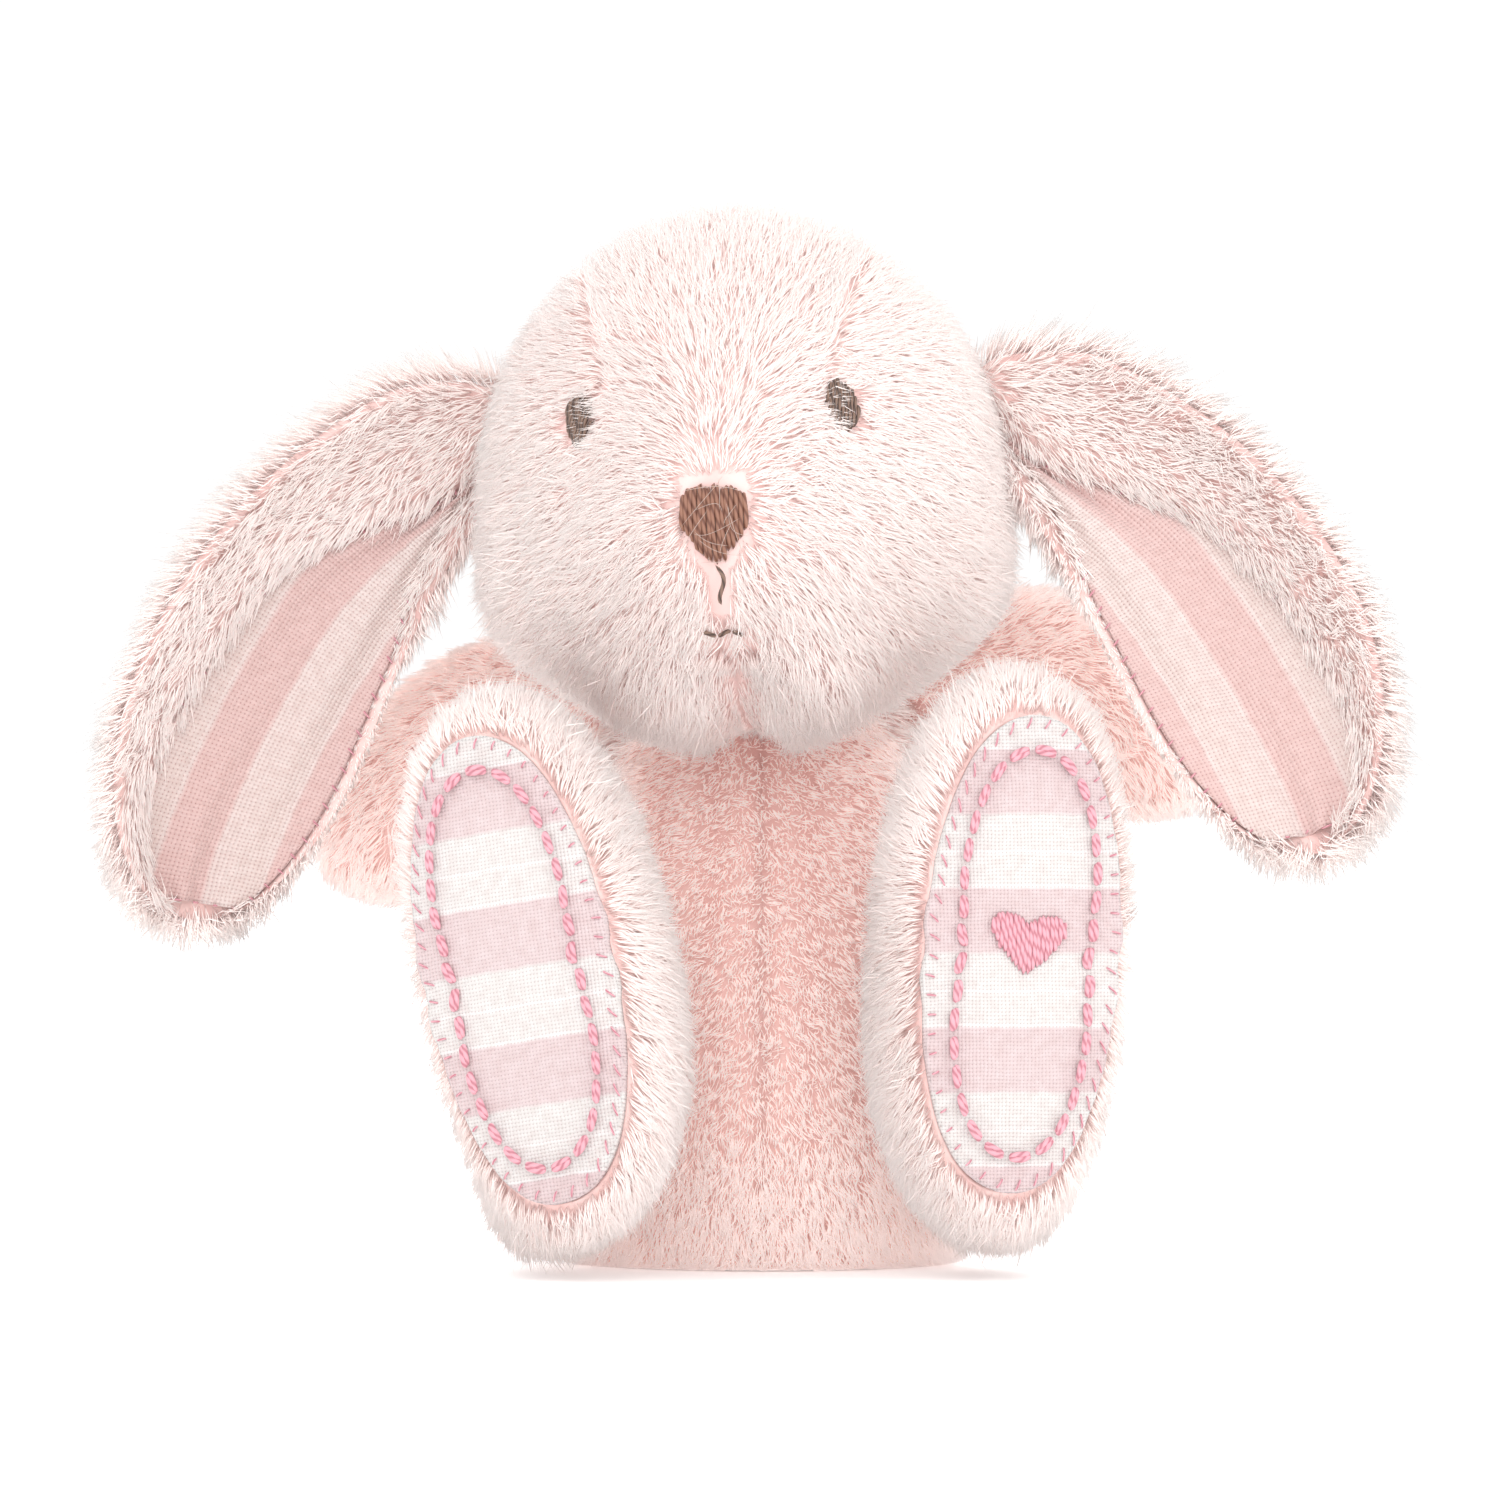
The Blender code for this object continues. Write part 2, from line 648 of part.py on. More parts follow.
def leg_frame(side):
    """The hinge, a ball's radius off the torso, the foot's place, and the shank from heel to hip."""
    sign = SIDES[side]
    looks = (sign * HIP_ON_TORSO[0], *HIP_ON_TORSO[1:])
    normal = normal_at(torso_form, looks)
    hinge = one_point(torso_form, looks) + normal * (JOINT_GAP + HIP_BALL)
    middle = hinge + Vector((sign * FOOT_FROM_HIP[side][0], *FOOT_FROM_HIP[side][1:]))
    turns = [(sign * FOOT_YAW[side], "Z"), (sign * FOOT_LEAN[side], "Y"), (FOOT_TILT, "X")]
    place = placed(middle, *turns)
    heel = one_point(lambda d: foot_form(d, (0, 0, 0)), SHANK_DIRECTION)
    behind = hinge + Vector((0, HIP_BALL, 0))
    return hinge, place, place.inverted() @ behind - heel


def sole_loop(form, place, inset, lift):
    """The foot opening's rim as points in order, drawn in by inset and lifted forwards off it."""
    bm = formed(form, Matrix.Identity(4), 20, 16)
    cut(bm, (0, -SOLE_AHEAD, 0), (0, -1, 0))
    rim = [vert.co.copy() for vert in bm.verts if vert.co.y < TOUCH - SOLE_AHEAD]
    bm.free()
    rim.sort(key=lambda point: math.atan2(point.z, point.x))
    drawn_in = [point - Vector((point.x, 0, point.z)).normalized() * inset for point in rim]
    return [place @ (point - Vector((0, lift, 0))) for point in drawn_in]


def add_plate(name, outline, thickness, forwards, empty, material):
    """A flat plate: one face inside the outline, thickened towards forwards."""
    bm = bmesh.new()
    face = bm.faces.new([bm.verts.new(point) for point in outline])
    bm.normal_update()
    if face.normal.dot(forwards) < 0:
        face.normal_flip()
    return thicken(add_piece(name, bm, empty, material), thickness, offset=1.0)


def add_leg(side):
    hinge, place, shank = leg_frame(side)
    empty = joint_empty(f"leg_{side}_axis", hinge)

    def form(directions):
        return foot_form(directions, shank)

    turned = place.to_3x3()
    front = (place @ Vector((0, -SOLE_AHEAD, 0)), turned @ Vector((0, -1, 0)))
    outwards = turned @ Vector((SIDES[side], 0, 0))
    for face, facing in {"outer": 1.0, "inner": -1.0}.items():
        shape = formed(form, place, 18, 14)
        cuts = [(place.translation, -facing * outwards), front]
        add_panel(f"leg_{side}_{face}", shape, cuts, empty, "plush")
    filling = formed(form, place, 18, 14, PLUSH + FILLING_GAP)
    cut(filling, front[0] - front[1] * LAYER_GAP, front[1])
    add_piece(f"leg_{side}_filling", filling, empty, "filling")
    sole = sole_loop(form, place, SOLE_INSET, LAYER_GAP)
    add_plate(f"sole_{side}", sole, SOLE_THICKNESS, front[1], empty, "sole")
    over_sole = LAYER_GAP + SOLE_THICKNESS + LAYER_GAP
    ring = sole_loop(form, place, SOLE_INSET + STITCH_INSET, over_sole + STITCH_RADIUS)
    add_thread(f"sole_stitching_{side}", ring, STITCH_RADIUS, empty, "pink_thread", closed=True)
    return place, empty, front[1], over_sole


def add_motif(place, empty, forwards, over_sole):
    outline = []
    for step in range(MOTIF_POINTS):
        angle = 2 * math.pi * step / MOTIF_POINTS
        across = math.sin(angle) ** 3
        height = (13 * math.cos(angle) - 5 * math.cos(2 * angle) - 2 * math.cos(3 * angle)) / 16
        point = Vector((across, 0, height)) * MOTIF_SIZE / 2
        outline.append(place @ (point + Vector((0, -SOLE_AHEAD - over_sole, MOTIF_RISE))))
    add_plate("sole_motif", outline, EMBROIDERY, forwards, empty, "pink_thread")


add_leg("right")
add_motif(*add_leg("left"))


# Tail: a small gathered plush ball with its own filling, sewn to the lower back.

def add_tail():
    normal = normal_at(torso_form, TAIL_ON_TORSO)
    root = one_point(torso_form, TAIL_ON_TORSO) + normal * JOINT_GAP
    place = Matrix.Translation(root + normal * (TAIL_DIAMETER / 2 - PLUSH - TAIL_TUCK))
    empty = joint_empty("tail_axis", root)
    add_panel("tail_cover", formed(tail_form, place, 14, 8), [(root, -normal)], empty, "plush")
    filling = formed(tail_form, place, 10, 6, PLUSH + FILLING_GAP)
    add_piece("tail_filling", filling, empty, "filling")


add_tail()
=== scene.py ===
"""A small sitting plush rabbit: backing cloth, pile, embroidery, cotton soles and gauze ear linings.

The rabbit faces -Y and sits on z = 0, in metres. Left and right are its own, so its left is at +X.
"""

import json
import math

import bmesh
import bpy
import numpy as np
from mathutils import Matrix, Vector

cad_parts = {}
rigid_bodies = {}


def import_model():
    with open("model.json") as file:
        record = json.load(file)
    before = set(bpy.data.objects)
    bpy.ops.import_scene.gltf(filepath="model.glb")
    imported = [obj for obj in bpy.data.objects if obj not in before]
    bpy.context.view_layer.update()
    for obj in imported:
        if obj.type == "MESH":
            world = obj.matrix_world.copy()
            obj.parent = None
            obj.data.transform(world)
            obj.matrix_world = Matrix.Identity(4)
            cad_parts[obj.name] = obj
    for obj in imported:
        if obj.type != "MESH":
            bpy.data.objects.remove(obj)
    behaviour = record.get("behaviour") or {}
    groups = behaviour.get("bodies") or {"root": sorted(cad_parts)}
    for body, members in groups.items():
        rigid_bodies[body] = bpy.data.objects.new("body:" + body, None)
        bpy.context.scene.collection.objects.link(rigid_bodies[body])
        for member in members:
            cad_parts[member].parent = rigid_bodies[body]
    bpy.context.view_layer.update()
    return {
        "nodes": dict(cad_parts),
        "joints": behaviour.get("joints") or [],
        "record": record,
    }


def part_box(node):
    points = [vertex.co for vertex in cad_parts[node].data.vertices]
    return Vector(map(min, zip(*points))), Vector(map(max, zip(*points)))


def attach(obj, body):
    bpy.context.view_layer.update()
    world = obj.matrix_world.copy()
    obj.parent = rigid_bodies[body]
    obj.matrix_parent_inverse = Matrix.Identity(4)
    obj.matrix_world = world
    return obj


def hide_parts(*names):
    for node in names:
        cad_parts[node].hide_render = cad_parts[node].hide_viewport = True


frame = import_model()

MM = 0.001
SIDES = {"left": 1.0, "right": -1.0}
JOINT_AT = {joint["name"]: np.array(joint["pos_m"]) for joint in frame["joints"]}

# ---------------------------------------------------------------------------------------------
# Torso: two belly panels of short deep pink plush and two back panels of long pale plush, seamed
# down the middle and the sides, closed below by a flat base panel. Inside, fibre filling sits on
# a cloth pouch of plastic pellets, which keeps the rabbit upright.

TORSO_WIDTH = 43.0 * MM
TORSO_DEPTH = 36.0 * MM
TORSO_HEIGHT = 62.0 * MM
TORSO_PEAR = 0.25
TORSO_LEAN_BACK = 7.0 * MM
TORSO_SINK = 9.0 * MM
TORSO_SIDE_SEAM_Y = 2.0 * MM
TORSO_FLOOR = 0.3 * MM
BACKING_THICKNESS = 1.0 * MM
TORSO_TUFTS = {"front": 21000, "back": 9000}

# A tuft is a few fibres that lie together: three-sided, widest at its middle station.
TUFT_STATIONS = np.array([0.0, 0.42, 1.0])
TUFT_TAPER = np.array([0.0, 1.0, 0.0])
TUFT_SIDES = 3
TUFT_LENGTHS = (0.72, 1.12)
TUFT_WIDTHS = (0.75, 1.2)
LEAN_SPREAD = 0.14
LEAN_LIMITS = (0.1, 1.45)
STRAY_SHARE = 0.06
STRAY_LENGTH = 1.3
CURL_SPREAD = 0.16
ROOT_SINK = 0.25 * MM
TONE_SPREAD = 0.10
TONE_STRIP = 0.012
SKIN_SHADING = 0.35
PILE_FLOOR = 0.15 * MM


def unit(vectors):
    """Each vector divided by its length."""
    vectors = np.asarray(vectors, float)
    return vectors / np.maximum(np.linalg.norm(vectors, axis=-1, keepdims=True), 1e-12)


def pushed(points, directions, pushes):
    """Points moved by soft pushes: each shift fades as a bell curve, exp(-(distance / reach)^2), with
    the distance between the point's direction and the push's own."""
    for centre, reach, shift in pushes:
        away = ((directions - unit(centre)) ** 2).sum(axis=1)
        points = points + np.exp(-away / reach**2)[:, None] * np.multiply(shift, MM)
    return points


def both_sides(centre, reach, shift):
    """A soft push and its mirror image on the other side."""
    mirrored = np.array([-1.0, 1.0, 1.0])
    return [(centre, reach, shift), (mirrored * centre, reach, mirrored * shift)]


def torso_form(directions):
    """An ellipsoid, widened downwards as a pear, leaning back with height to the power 1.5."""
    half_height = (TORSO_HEIGHT + TORSO_SINK) / 2
    points = directions * [TORSO_WIDTH / 2, TORSO_DEPTH / 2, half_height]
    points[:, :2] *= 1 - TORSO_PEAR * directions[:, 2:]
    points[:, 2] += half_height - TORSO_SINK
    points[:, 1] += TORSO_LEAN_BACK * np.clip(points[:, 2] / TORSO_HEIGHT, 0, 1) ** 1.5
    belly = ((0.0, -0.9, -0.35), 0.7, (0.0, -3.0, 0.0))
    return pushed(points, directions, [belly, *both_sides((0.62, 0.25, 0.74), 0.45, (3.0, 1.0, 2.0))])


def ball_grid(segments, rings):
    """Unit directions on rings between two poles, and triangles that face outwards."""
    turn = np.linspace(0, 2 * math.pi, segments, endpoint=False)
    height = np.linspace(0, math.pi, rings + 1)[1:-1, None]
    ring = [np.sin(height) * np.cos(turn), np.sin(height) * np.sin(turn), np.cos(height) + 0 * turn]
    middle = np.stack(ring, axis=-1).reshape(-1, 3)
    directions = np.vstack([[0, 0, 1], middle, [0, 0, -1]])
    across = np.arange(segments)
    after = (across + 1) % segments
    faces = [np.stack([0 * across, 1 + across, 1 + after], axis=1)]
    for row in range(rings - 2):
        here = 1 + row * segments
        below = here + segments
        faces.append(np.stack([here + across, below + across, below + after], axis=1))
        faces.append(np.stack([here + across, below + after, here + after], axis=1))
    last = 1 + (rings - 2) * segments
    faces.append(np.stack([last + across, 0 * across + len(directions) - 1, last + after], axis=1))
    return directions, np.vstack(faces)


def facing_out(points, triangles):
    """The triangles, turned round if the closed shape's signed volume is negative."""
    a, b, c = (points[triangles[:, corner]] for corner in range(3))
    inside_out = np.einsum("ij,ij->", a - points.mean(axis=0), np.cross(b - a, c - a)) < 0
    return triangles[:, ::-1] if inside_out else triangles


def corner_normals(points, triangles):
    """Each point's normal: the sum of its triangles' normals, weighted by area."""
    a, b, c = (points[triangles[:, corner]] for corner in range(3))
    normals = np.zeros_like(points)
    for corner in range(3):
        np.add.at(normals, triangles[:, corner], np.cross(b - a, c - a))
    return unit(normals)


def cut_open(points, triangles, cuts):
    """What is left of a surface behind each plane, given as a point and the normal of the lost side."""
    bm = bmesh.new()
    corners = [bm.verts.new(point) for point in points]
    for triangle in triangles:
        bm.faces.new([corners[index] for index in triangle])
    for point, normal in cuts:
        everything = [*bm.verts, *bm.edges, *bm.faces]
        bmesh.ops.bisect_plane(
            bm, geom=everything, dist=1e-7, plane_co=point, plane_no=normal, clear_outer=True
        )
    bmesh.ops.triangulate(bm, faces=bm.faces)
    bm.verts.index_update()
    left = np.array([vert.co for vert in bm.verts])
    faces = np.array([[vert.index for vert in face.verts] for face in bm.faces])
    bm.free()
    return left, faces


def add_mesh(name, points, triangles, uv_name=None, uvs=None):
    """A smooth mesh object from arrays; uvs hold one pair for each triangle's corner."""
    mesh = bpy.data.meshes.new(name)
    mesh.vertices.add(len(points))
    mesh.vertices.foreach_set("co", np.asarray(points, np.float32).ravel())
    mesh.loops.add(3 * len(triangles))
    mesh.loops.foreach_set("vertex_index", np.asarray(triangles, np.int32).ravel())
    mesh.polygons.add(len(triangles))
    mesh.polygons.foreach_set("loop_start", np.arange(0, 3 * len(triangles), 3, dtype=np.int32))
    if uv_name:
        layer = mesh.uv_layers.new(name=uv_name)
        layer.uv.foreach_set("vector", np.asarray(uvs, np.float32).ravel())
    mesh.update(calc_edges=True)
    mesh.validate()
    mesh.shade_smooth()
    obj = bpy.data.objects.new(name, mesh)
    bpy.context.scene.collection.objects.link(obj)
    return obj


def spun(path, up, radius, sides, u_start, u_span, v):
    """Closed tubes, one for each row of path, round in section and pointed at both ends.

    Each inner station has a ring of corners: path + radius * (cos * across + sin * over), where across
    is square to the path and to up, and over is square to both. The first and last stations are
    single points. u goes round each tube from u_start over u_span, and v is given along it."""
    count, stations = path.shape[:2]
    heading = unit(np.gradient(path, axis=1))
    across = unit(np.cross(heading, np.broadcast_to(up[:, None], path.shape)))
    over = np.cross(heading, across)
    turn = 2 * math.pi * np.arange(sides) / sides
    ring = np.cos(turn)[:, None] * across[:, :, None] + np.sin(turn)[:, None] * over[:, :, None]
    rings = path[:, 1:-1, None] + radius[:, 1:-1, None, None] * ring[:, 1:-1]
    inner = stations - 2
    rings = rings.reshape(count, inner * sides, 3)
    points = np.concatenate([path[:, :1], rings, path[:, -1:]], axis=1)
    last = inner * sides + 1
    triangles, u_share, station = [], [], []
    for side in range(sides):
        after = (side + 1) % sides
        here, there, half = side / sides, (side + 1) / sides, (side + 0.5) / sides
        triangles.append((0, 1 + after, 1 + side))
        u_share.append((half, there, here))
        station.append((0, 1, 1))
        for row in range(inner - 1):
            low, high = 1 + row * sides, 1 + (row + 1) * sides
            triangles += [(low + side, low + after, high + after), (low + side, high + after, high + side)]
            u_share += [(here, there, there), (here, there, here)]
            station += [(row + 1, row + 1, row + 2), (row + 1, row + 2, row + 2)]
        low = 1 + (inner - 1) * sides
        triangles.append((low + side, low + after, last))
        u_share.append((here, there, half))
        station.append((inner, inner, inner + 1))
    faces = np.arange(count)[:, None, None] * (last + 1) + np.array(triangles)
    u = np.reshape(u_start, (-1, 1, 1)) + u_span * np.array(u_share)
    v = np.broadcast_to(v, (count, stations))[:, np.array(station)]
    uvs = np.stack([np.broadcast_to(u, v.shape), v], axis=-1)
    return points.reshape(-1, 3), faces.reshape(-1, 3), uvs.reshape(-1, 2)


def scattered(rng, points, triangles, count):
    """Random places on a surface, even by area, with their normals."""
    a, b, c = (points[triangles[:, corner]] for corner in range(3))
    area = np.linalg.norm(np.cross(b - a, c - a), axis=1)
    chosen = rng.choice(len(triangles), count, p=area / area.sum())
    first, second = rng.random((2, count))
    folded = first + second > 1
    first, second = np.where(folded, 1 - first, first), np.where(folded, 1 - second, second)
    weights = np.stack([1 - first - second, first, second], axis=1)[:, :, None]
    normals = corner_normals(points, triangles)
    corners = triangles[chosen]
    return (points[corners] * weights).sum(axis=1), unit((normals[corners] * weights).sum(axis=1))


def nearest(places, centres):
    """For each place, the index of the nearest centre."""
    distance = (centres**2).sum(axis=1) - 2 * places @ centres.T
    return distance.argmin(axis=1)


def add_pile(name, body, slot, surface, count, comb_and_cut, seed):
    """A panel's pile: tufts of fibres rooted in its backing, drawn as thin tapering tubes.

    comb_and_cut(roots, normals) gives a dict: comb, the way the tufts are brushed; length; lean, the
    angle off the normal; tone, 0 deep to 1 pale; and keep, which roots have a tuft. It may also set
    width, scatter, the spread of the brushing in radians, clump, the tufts in a clump, clumping, how
    far they draw together, and droop. A tuft's line is root + length * (normal * cos(lean) *
    (s - s^2 * droop) + comb * sin(lean) * s + a sideways curl * s^2), and its tip is then drawn to
    the tip of the clump that it belongs to."""
    rng = np.random.default_rng(seed)
    roots, normals = scattered(rng, *surface, count)
    style = {"width": 0.16 * MM, "scatter": 0.35, "clump": 14, "clumping": 0.5, "droop": 0.25}
    style.update(comb_and_cut(roots, normals))
    keep = np.broadcast_to(style.pop("keep", True), len(roots))
    for key, value in style.items():
        if np.ndim(value) and len(value) == len(roots):
            style[key] = value[keep]
    roots, normals = roots[keep], normals[keep]
    count = len(roots)
    flat = style["comb"] - normals * (style["comb"] * normals).sum(axis=1, keepdims=True)
    along = unit(flat)
    swing = rng.normal(0, style["scatter"], (count, 1))
    along = along * np.cos(swing) + np.cross(normals, along) * np.sin(swing)
    side = np.cross(normals, along)
    lean = np.clip(style["lean"] + rng.normal(0, LEAN_SPREAD, count), *LEAN_LIMITS)[:, None, None]
    length = (style["length"] * rng.uniform(*TUFT_LENGTHS, count))[:, None, None]
    stray = rng.random(count)[:, None, None] < STRAY_SHARE
    length = np.where(stray, length * STRAY_LENGTH, length)
    curl = rng.normal(0, CURL_SPREAD, count)[:, None, None]
    s = TUFT_STATIONS[None, :, None]
    rise = normals[:, None] * np.cos(lean) * (s - style["droop"] * s**2)
    line = rise + along[:, None] * np.sin(lean) * s + side[:, None] * curl * s**2
    path = roots[:, None] + length * line
    path -= normals[:, None] * ROOT_SINK * (1 - s)
    centres = rng.choice(count, max(1, count // style["clump"]), replace=False)
    leader = path[centres][nearest(roots, roots[centres])]
    drawn = np.where(stray, 0.3, 1.0) * style["clumping"] * s**1.4
    path += (leader - path) * drawn
    path[..., 2] = np.maximum(path[..., 2], PILE_FLOOR * (1 + rng.random((count, 1))))
    width = np.reshape(style["width"], (-1, 1)) * rng.uniform(*TUFT_WIDTHS, (count, 1))
    tone = np.clip(style["tone"] + rng.normal(0, TONE_SPREAD, count), 0.01, 0.97)
    points, triangles, uvs = spun(
        path, normals, width / 2 * TUFT_TAPER, TUFT_SIDES, tone, TONE_STRIP, TUFT_STATIONS
    )
    pile = add_mesh(name, points, triangles, "OFBake", uvs)
    own = corner_normals(points, triangles)
    shared = np.repeat(normals, len(points) // count, axis=0)
    pile.data.normals_split_custom_set_from_vertices(unit(own + SKIN_SHADING * shared))
    pile.data.materials.append(PILE_MATERIALS[slot])
    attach(pile, body)


def add_backing(name, body, slot, surface, node):
    """A panel's knitted backing: a thin closed layer under the pile, in the place of its CAD panel."""
    backing = add_mesh(name, *surface)
    wall = backing.modifiers.new("backing thickness", "SOLIDIFY")
    wall.thickness = BACKING_THICKNESS
    wall.offset = -1
    backing.data.materials.append(BACKING_MATERIALS[slot])
    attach(backing, body)
    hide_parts(node)


def linear(colour):
    """An sRGB hex colour as linear red, green, blue and alpha."""
    parts = np.array([int(colour[place : place + 2], 16) for place in (1, 3, 5)]) / 255
    parts = np.where(parts <= 0.04045, parts / 12.92, ((parts + 0.055) / 1.055) ** 2.4)
    return (*parts, 1.0)


def add_node(tree, kind, inputs, **settings):
    """Adds a node with its settings; inputs hold values, or sockets to link."""
    made = tree.nodes.new(kind)
    for key, value in settings.items():
        setattr(made, key, value)
    for key, value in inputs.items():
        if isinstance(value, bpy.types.NodeSocket):
            tree.links.new(value, made.inputs[key])
        else:
            made.inputs[key].default_value = value
    return made


def new_material(name, **sockets):
    """A material of one Principled shader with these constant socket values."""
    material = bpy.data.materials.new(name)
    material.use_nodes = True
    shader = material.node_tree.nodes["Principled BSDF"]
    for key, value in sockets.items():
        shader.inputs[key.replace("_", " ")].default_value = value
    return material, material.node_tree, shader


def ramp(tree, factor, stops):
    """A colour ramp through (place, hex colour) stops."""
    made = add_node(tree, "ShaderNodeValToRGB", {"Fac": factor})
    elements = made.color_ramp.elements
    while len(elements) < len(stops):
        elements.new(0.5)
    for element, (place, colour) in zip(elements, stops):
        element.position = place
        element.color = linear(colour)
    return made.outputs["Color"]


def pile_material(name, deep, pale, glow, glow_strength):
    """Acrylic plush pile: matt fibres, deeper in colour at the root, with pale soft tips.

    deep and pale are the stops along a fibre, for the deepest and the palest tufts. The faint glow is
    painted light: an emission that lifts the shade between and under the tufts, standing in for the
    light that translucent fibres pass on to each other."""
    material, tree, shader = new_material(
        name,
        Roughness=0.75,
        Specular_IOR_Level=0.25,
        Sheen_Weight=0.25,
        Sheen_Roughness=0.5,
        # painted light: a faint emission that lifts the pile's shade
        Emission_Color=linear(glow),
        Emission_Strength=glow_strength,
    )
    own = add_node(tree, "ShaderNodeUVMap", {}, uv_map="OFBake")
    place = add_node(tree, "ShaderNodeSeparateXYZ", {"Vector": own.outputs["UV"]})
    mixed = add_node(
        tree,
        "ShaderNodeMix",
        {
            "Factor": place.outputs["X"],
            "A": ramp(tree, place.outputs["Y"], deep),
            "B": ramp(tree, place.outputs["Y"], pale),
        },
        data_type="RGBA",
    )
    tree.links.new(mixed.outputs["Result"], shader.inputs["Base Color"])
    return material


KNIT_RIB_PITCH = 0.8 * MM


def backing_material(name, shaded_groove, rib):
    """Knitted polyester backing: fine ribs with painted shade in the grooves between them, matt, and a
    little deeper in colour than the pile as painted shade, so that a parting in the pile reads as a soft
    shadow. A wave texture's period is 1 / (20 * scale)."""
    material, tree, shader = new_material(name, Roughness=0.9, Sheen_Weight=0.2)
    place = add_node(tree, "ShaderNodeTexCoord", {})
    ribs = add_node(
        tree,
        "ShaderNodeTexWave",
        {"Vector": place.outputs["Object"], "Scale": 1 / (20 * KNIT_RIB_PITCH), "Distortion": 1.5},
    )
    # painted shade: the colour darkens into the grooves between the ribs, following the bump's height
    colour = ramp(tree, ribs.outputs["Fac"], [(0.0, shaded_groove), (1.0, rib)])
    tree.links.new(colour, shader.inputs["Base Color"])
    bump = add_node(
        tree,
        "ShaderNodeBump",
        {"Height": ribs.outputs["Fac"], "Strength": 0.4, "Distance": 0.2 * MM},
    )
    tree.links.new(bump.outputs["Normal"], shader.inputs["Normal"])
    return material


# Each pile ends in a painted glow, an emission that lifts its shade. The short pile's colours are painted
# paler and its glow stronger, as painted light against the shade that the head and feet cast on the belly;
# its pink is its own.
PILE_MATERIALS = {
    "plush": pile_material(
        "long_acrylic_pile",
        [(0.0, "#EFCDC8"), (0.45, "#F5E0DC"), (1.0, "#F8ECE8")],
        [(0.0, "#F3DCD8"), (0.45, "#F8EDE9"), (1.0, "#FBF6F3")],
        "#FFE6E1",
        0.10,
    ),
    "belly_plush": pile_material(
        "short_acrylic_pile",
        [(0.0, "#F4D2CC"), (0.4, "#FBE5DF"), (1.0, "#FDEFEA")],
        [(0.0, "#F9E1DC"), (0.4, "#FDF1ED"), (1.0, "#FFFAF8")],
        "#FFD9D2",
        0.21,
    ),
}
# The first colour of each backing is painted shade in the grooves between its ribs.
BACKING_MATERIALS = {
    "plush": backing_material("pale_knit_backing", "#EAC4BF", "#F0D0CB"),
    "belly_plush": backing_material("pink_knit_backing", "#E9BFB9", "#EFCAC4"),
}


def seam_parting(points, normals_of_seams, reach):
    """How the pile near a seam is brushed away from it, falling off as a bell curve."""
    push = np.zeros_like(points)
    for point, normal in normals_of_seams:
        off = (points - point) @ unit(normal)
        push += np.sign(off)[:, None] * np.exp(-((off / reach) ** 2))[:, None] * unit(normal)
    return push


def torso_pile(roots, normals):
    """Brushed down and a little off the middle seam, short on the belly and longer below and behind."""
    front = np.clip((TORSO_SIDE_SEAM_Y - roots[:, 1]) / (6 * MM), 0, 1)
    low = np.clip((16 * MM - roots[:, 2]) / (14 * MM), 0, 1)
    comb = np.stack([roots[:, 0] * 9, 0.2 - 0.2 * front, -np.ones(len(roots))], axis=1)
    x, z = roots[:, 0], roots[:, 2]
    patches = np.sin(x * 900 + 1.3 * np.sin(z * 700)) * np.sin(z * 800 + 2)
    return {
        "comb": comb,
        "length": (4.2 - 2.0 * front + 2.6 * low) * MM,
        "lean": 0.95 - 0.15 * front,
        "tone": 0.60 + 0.9 * low + 0.12 * (1 - front) + 0.10 * patches,
        "width": (0.16 - 0.03 * front) * MM,
        "scatter": 0.5,
        "clumping": 0.4,
    }


for side, sign in SIDES.items():
    for end, facing in {"front": -1.0, "back": 1.0}.items():
        directions, triangles = ball_grid(72, 54)
        seams = [
            ((0, 0, 0), (-sign, 0, 0)),
            ((0, TORSO_SIDE_SEAM_Y, 0), (0, -facing, 0)),
            ((0, 0, TORSO_FLOOR), (0, 0, -1)),
        ]
        panel = cut_open(torso_form(directions), triangles, seams)
        slot = "belly_plush" if end == "front" else "plush"
        node = f"torso_{end}_{side}"
        add_backing(f"{node}_backing", "torso", slot, panel, node)
        seed = 7 * len(node) + int(sign)
        add_pile(f"{node}_pile", "torso", slot, panel, TORSO_TUFTS[end], torso_pile, seed)

# ---------------------------------------------------------------------------------------------
# Head: two side panels and a gusset of the long pale plush, from the nose over the top to the
# nape, stuffed firm and sewn to the torso with a ring of ladder stitches.

HEAD_WIDTH = 48.5 * MM
HEAD_DEPTH = 44.0 * MM
HEAD_HEIGHT = 51.0 * MM
HEAD_YAW = -6.0
HEAD_ROLL = -3.0
GUSSET_HALF_WIDTH = 6.8 * MM
GUSSET_WIDENING = 0.343
HEAD_TUFTS = {"head_gusset": 20500, "head_side_left": 29000, "head_side_right": 29000}
NOSE_ON_HEAD = unit((0.0, -0.98, -0.17))
EYE_ON_HEAD = {"left": (0.485, -0.82, 0.235), "right": (-0.555, -0.80, 0.235)}


def head_form(directions):
    """An ellipsoid pushed out at the cheeks, the muzzle and two chin lobes, and in under the mouth."""
    pushes = [
        *both_sides((0.75, -0.2, -0.6), 0.50, (3.0, 0.0, 0.0)),
        ((0.0, -0.93, -0.34), 0.55, (0.0, -7.0, -0.5)),
        *both_sides((0.33, -0.62, -0.72), 0.26, (0.8, -1.5, -3.0)),
        ((0.0, -0.70, -0.72), 0.15, (0.0, 2.0, 1.5)),
        ((0.0, 0.72, -0.70), 0.55, (0.0, -2.0, 3.0)),
    ]
    return pushed(directions * np.array([HEAD_WIDTH, HEAD_DEPTH, HEAD_HEIGHT]) / 2, directions, pushes)


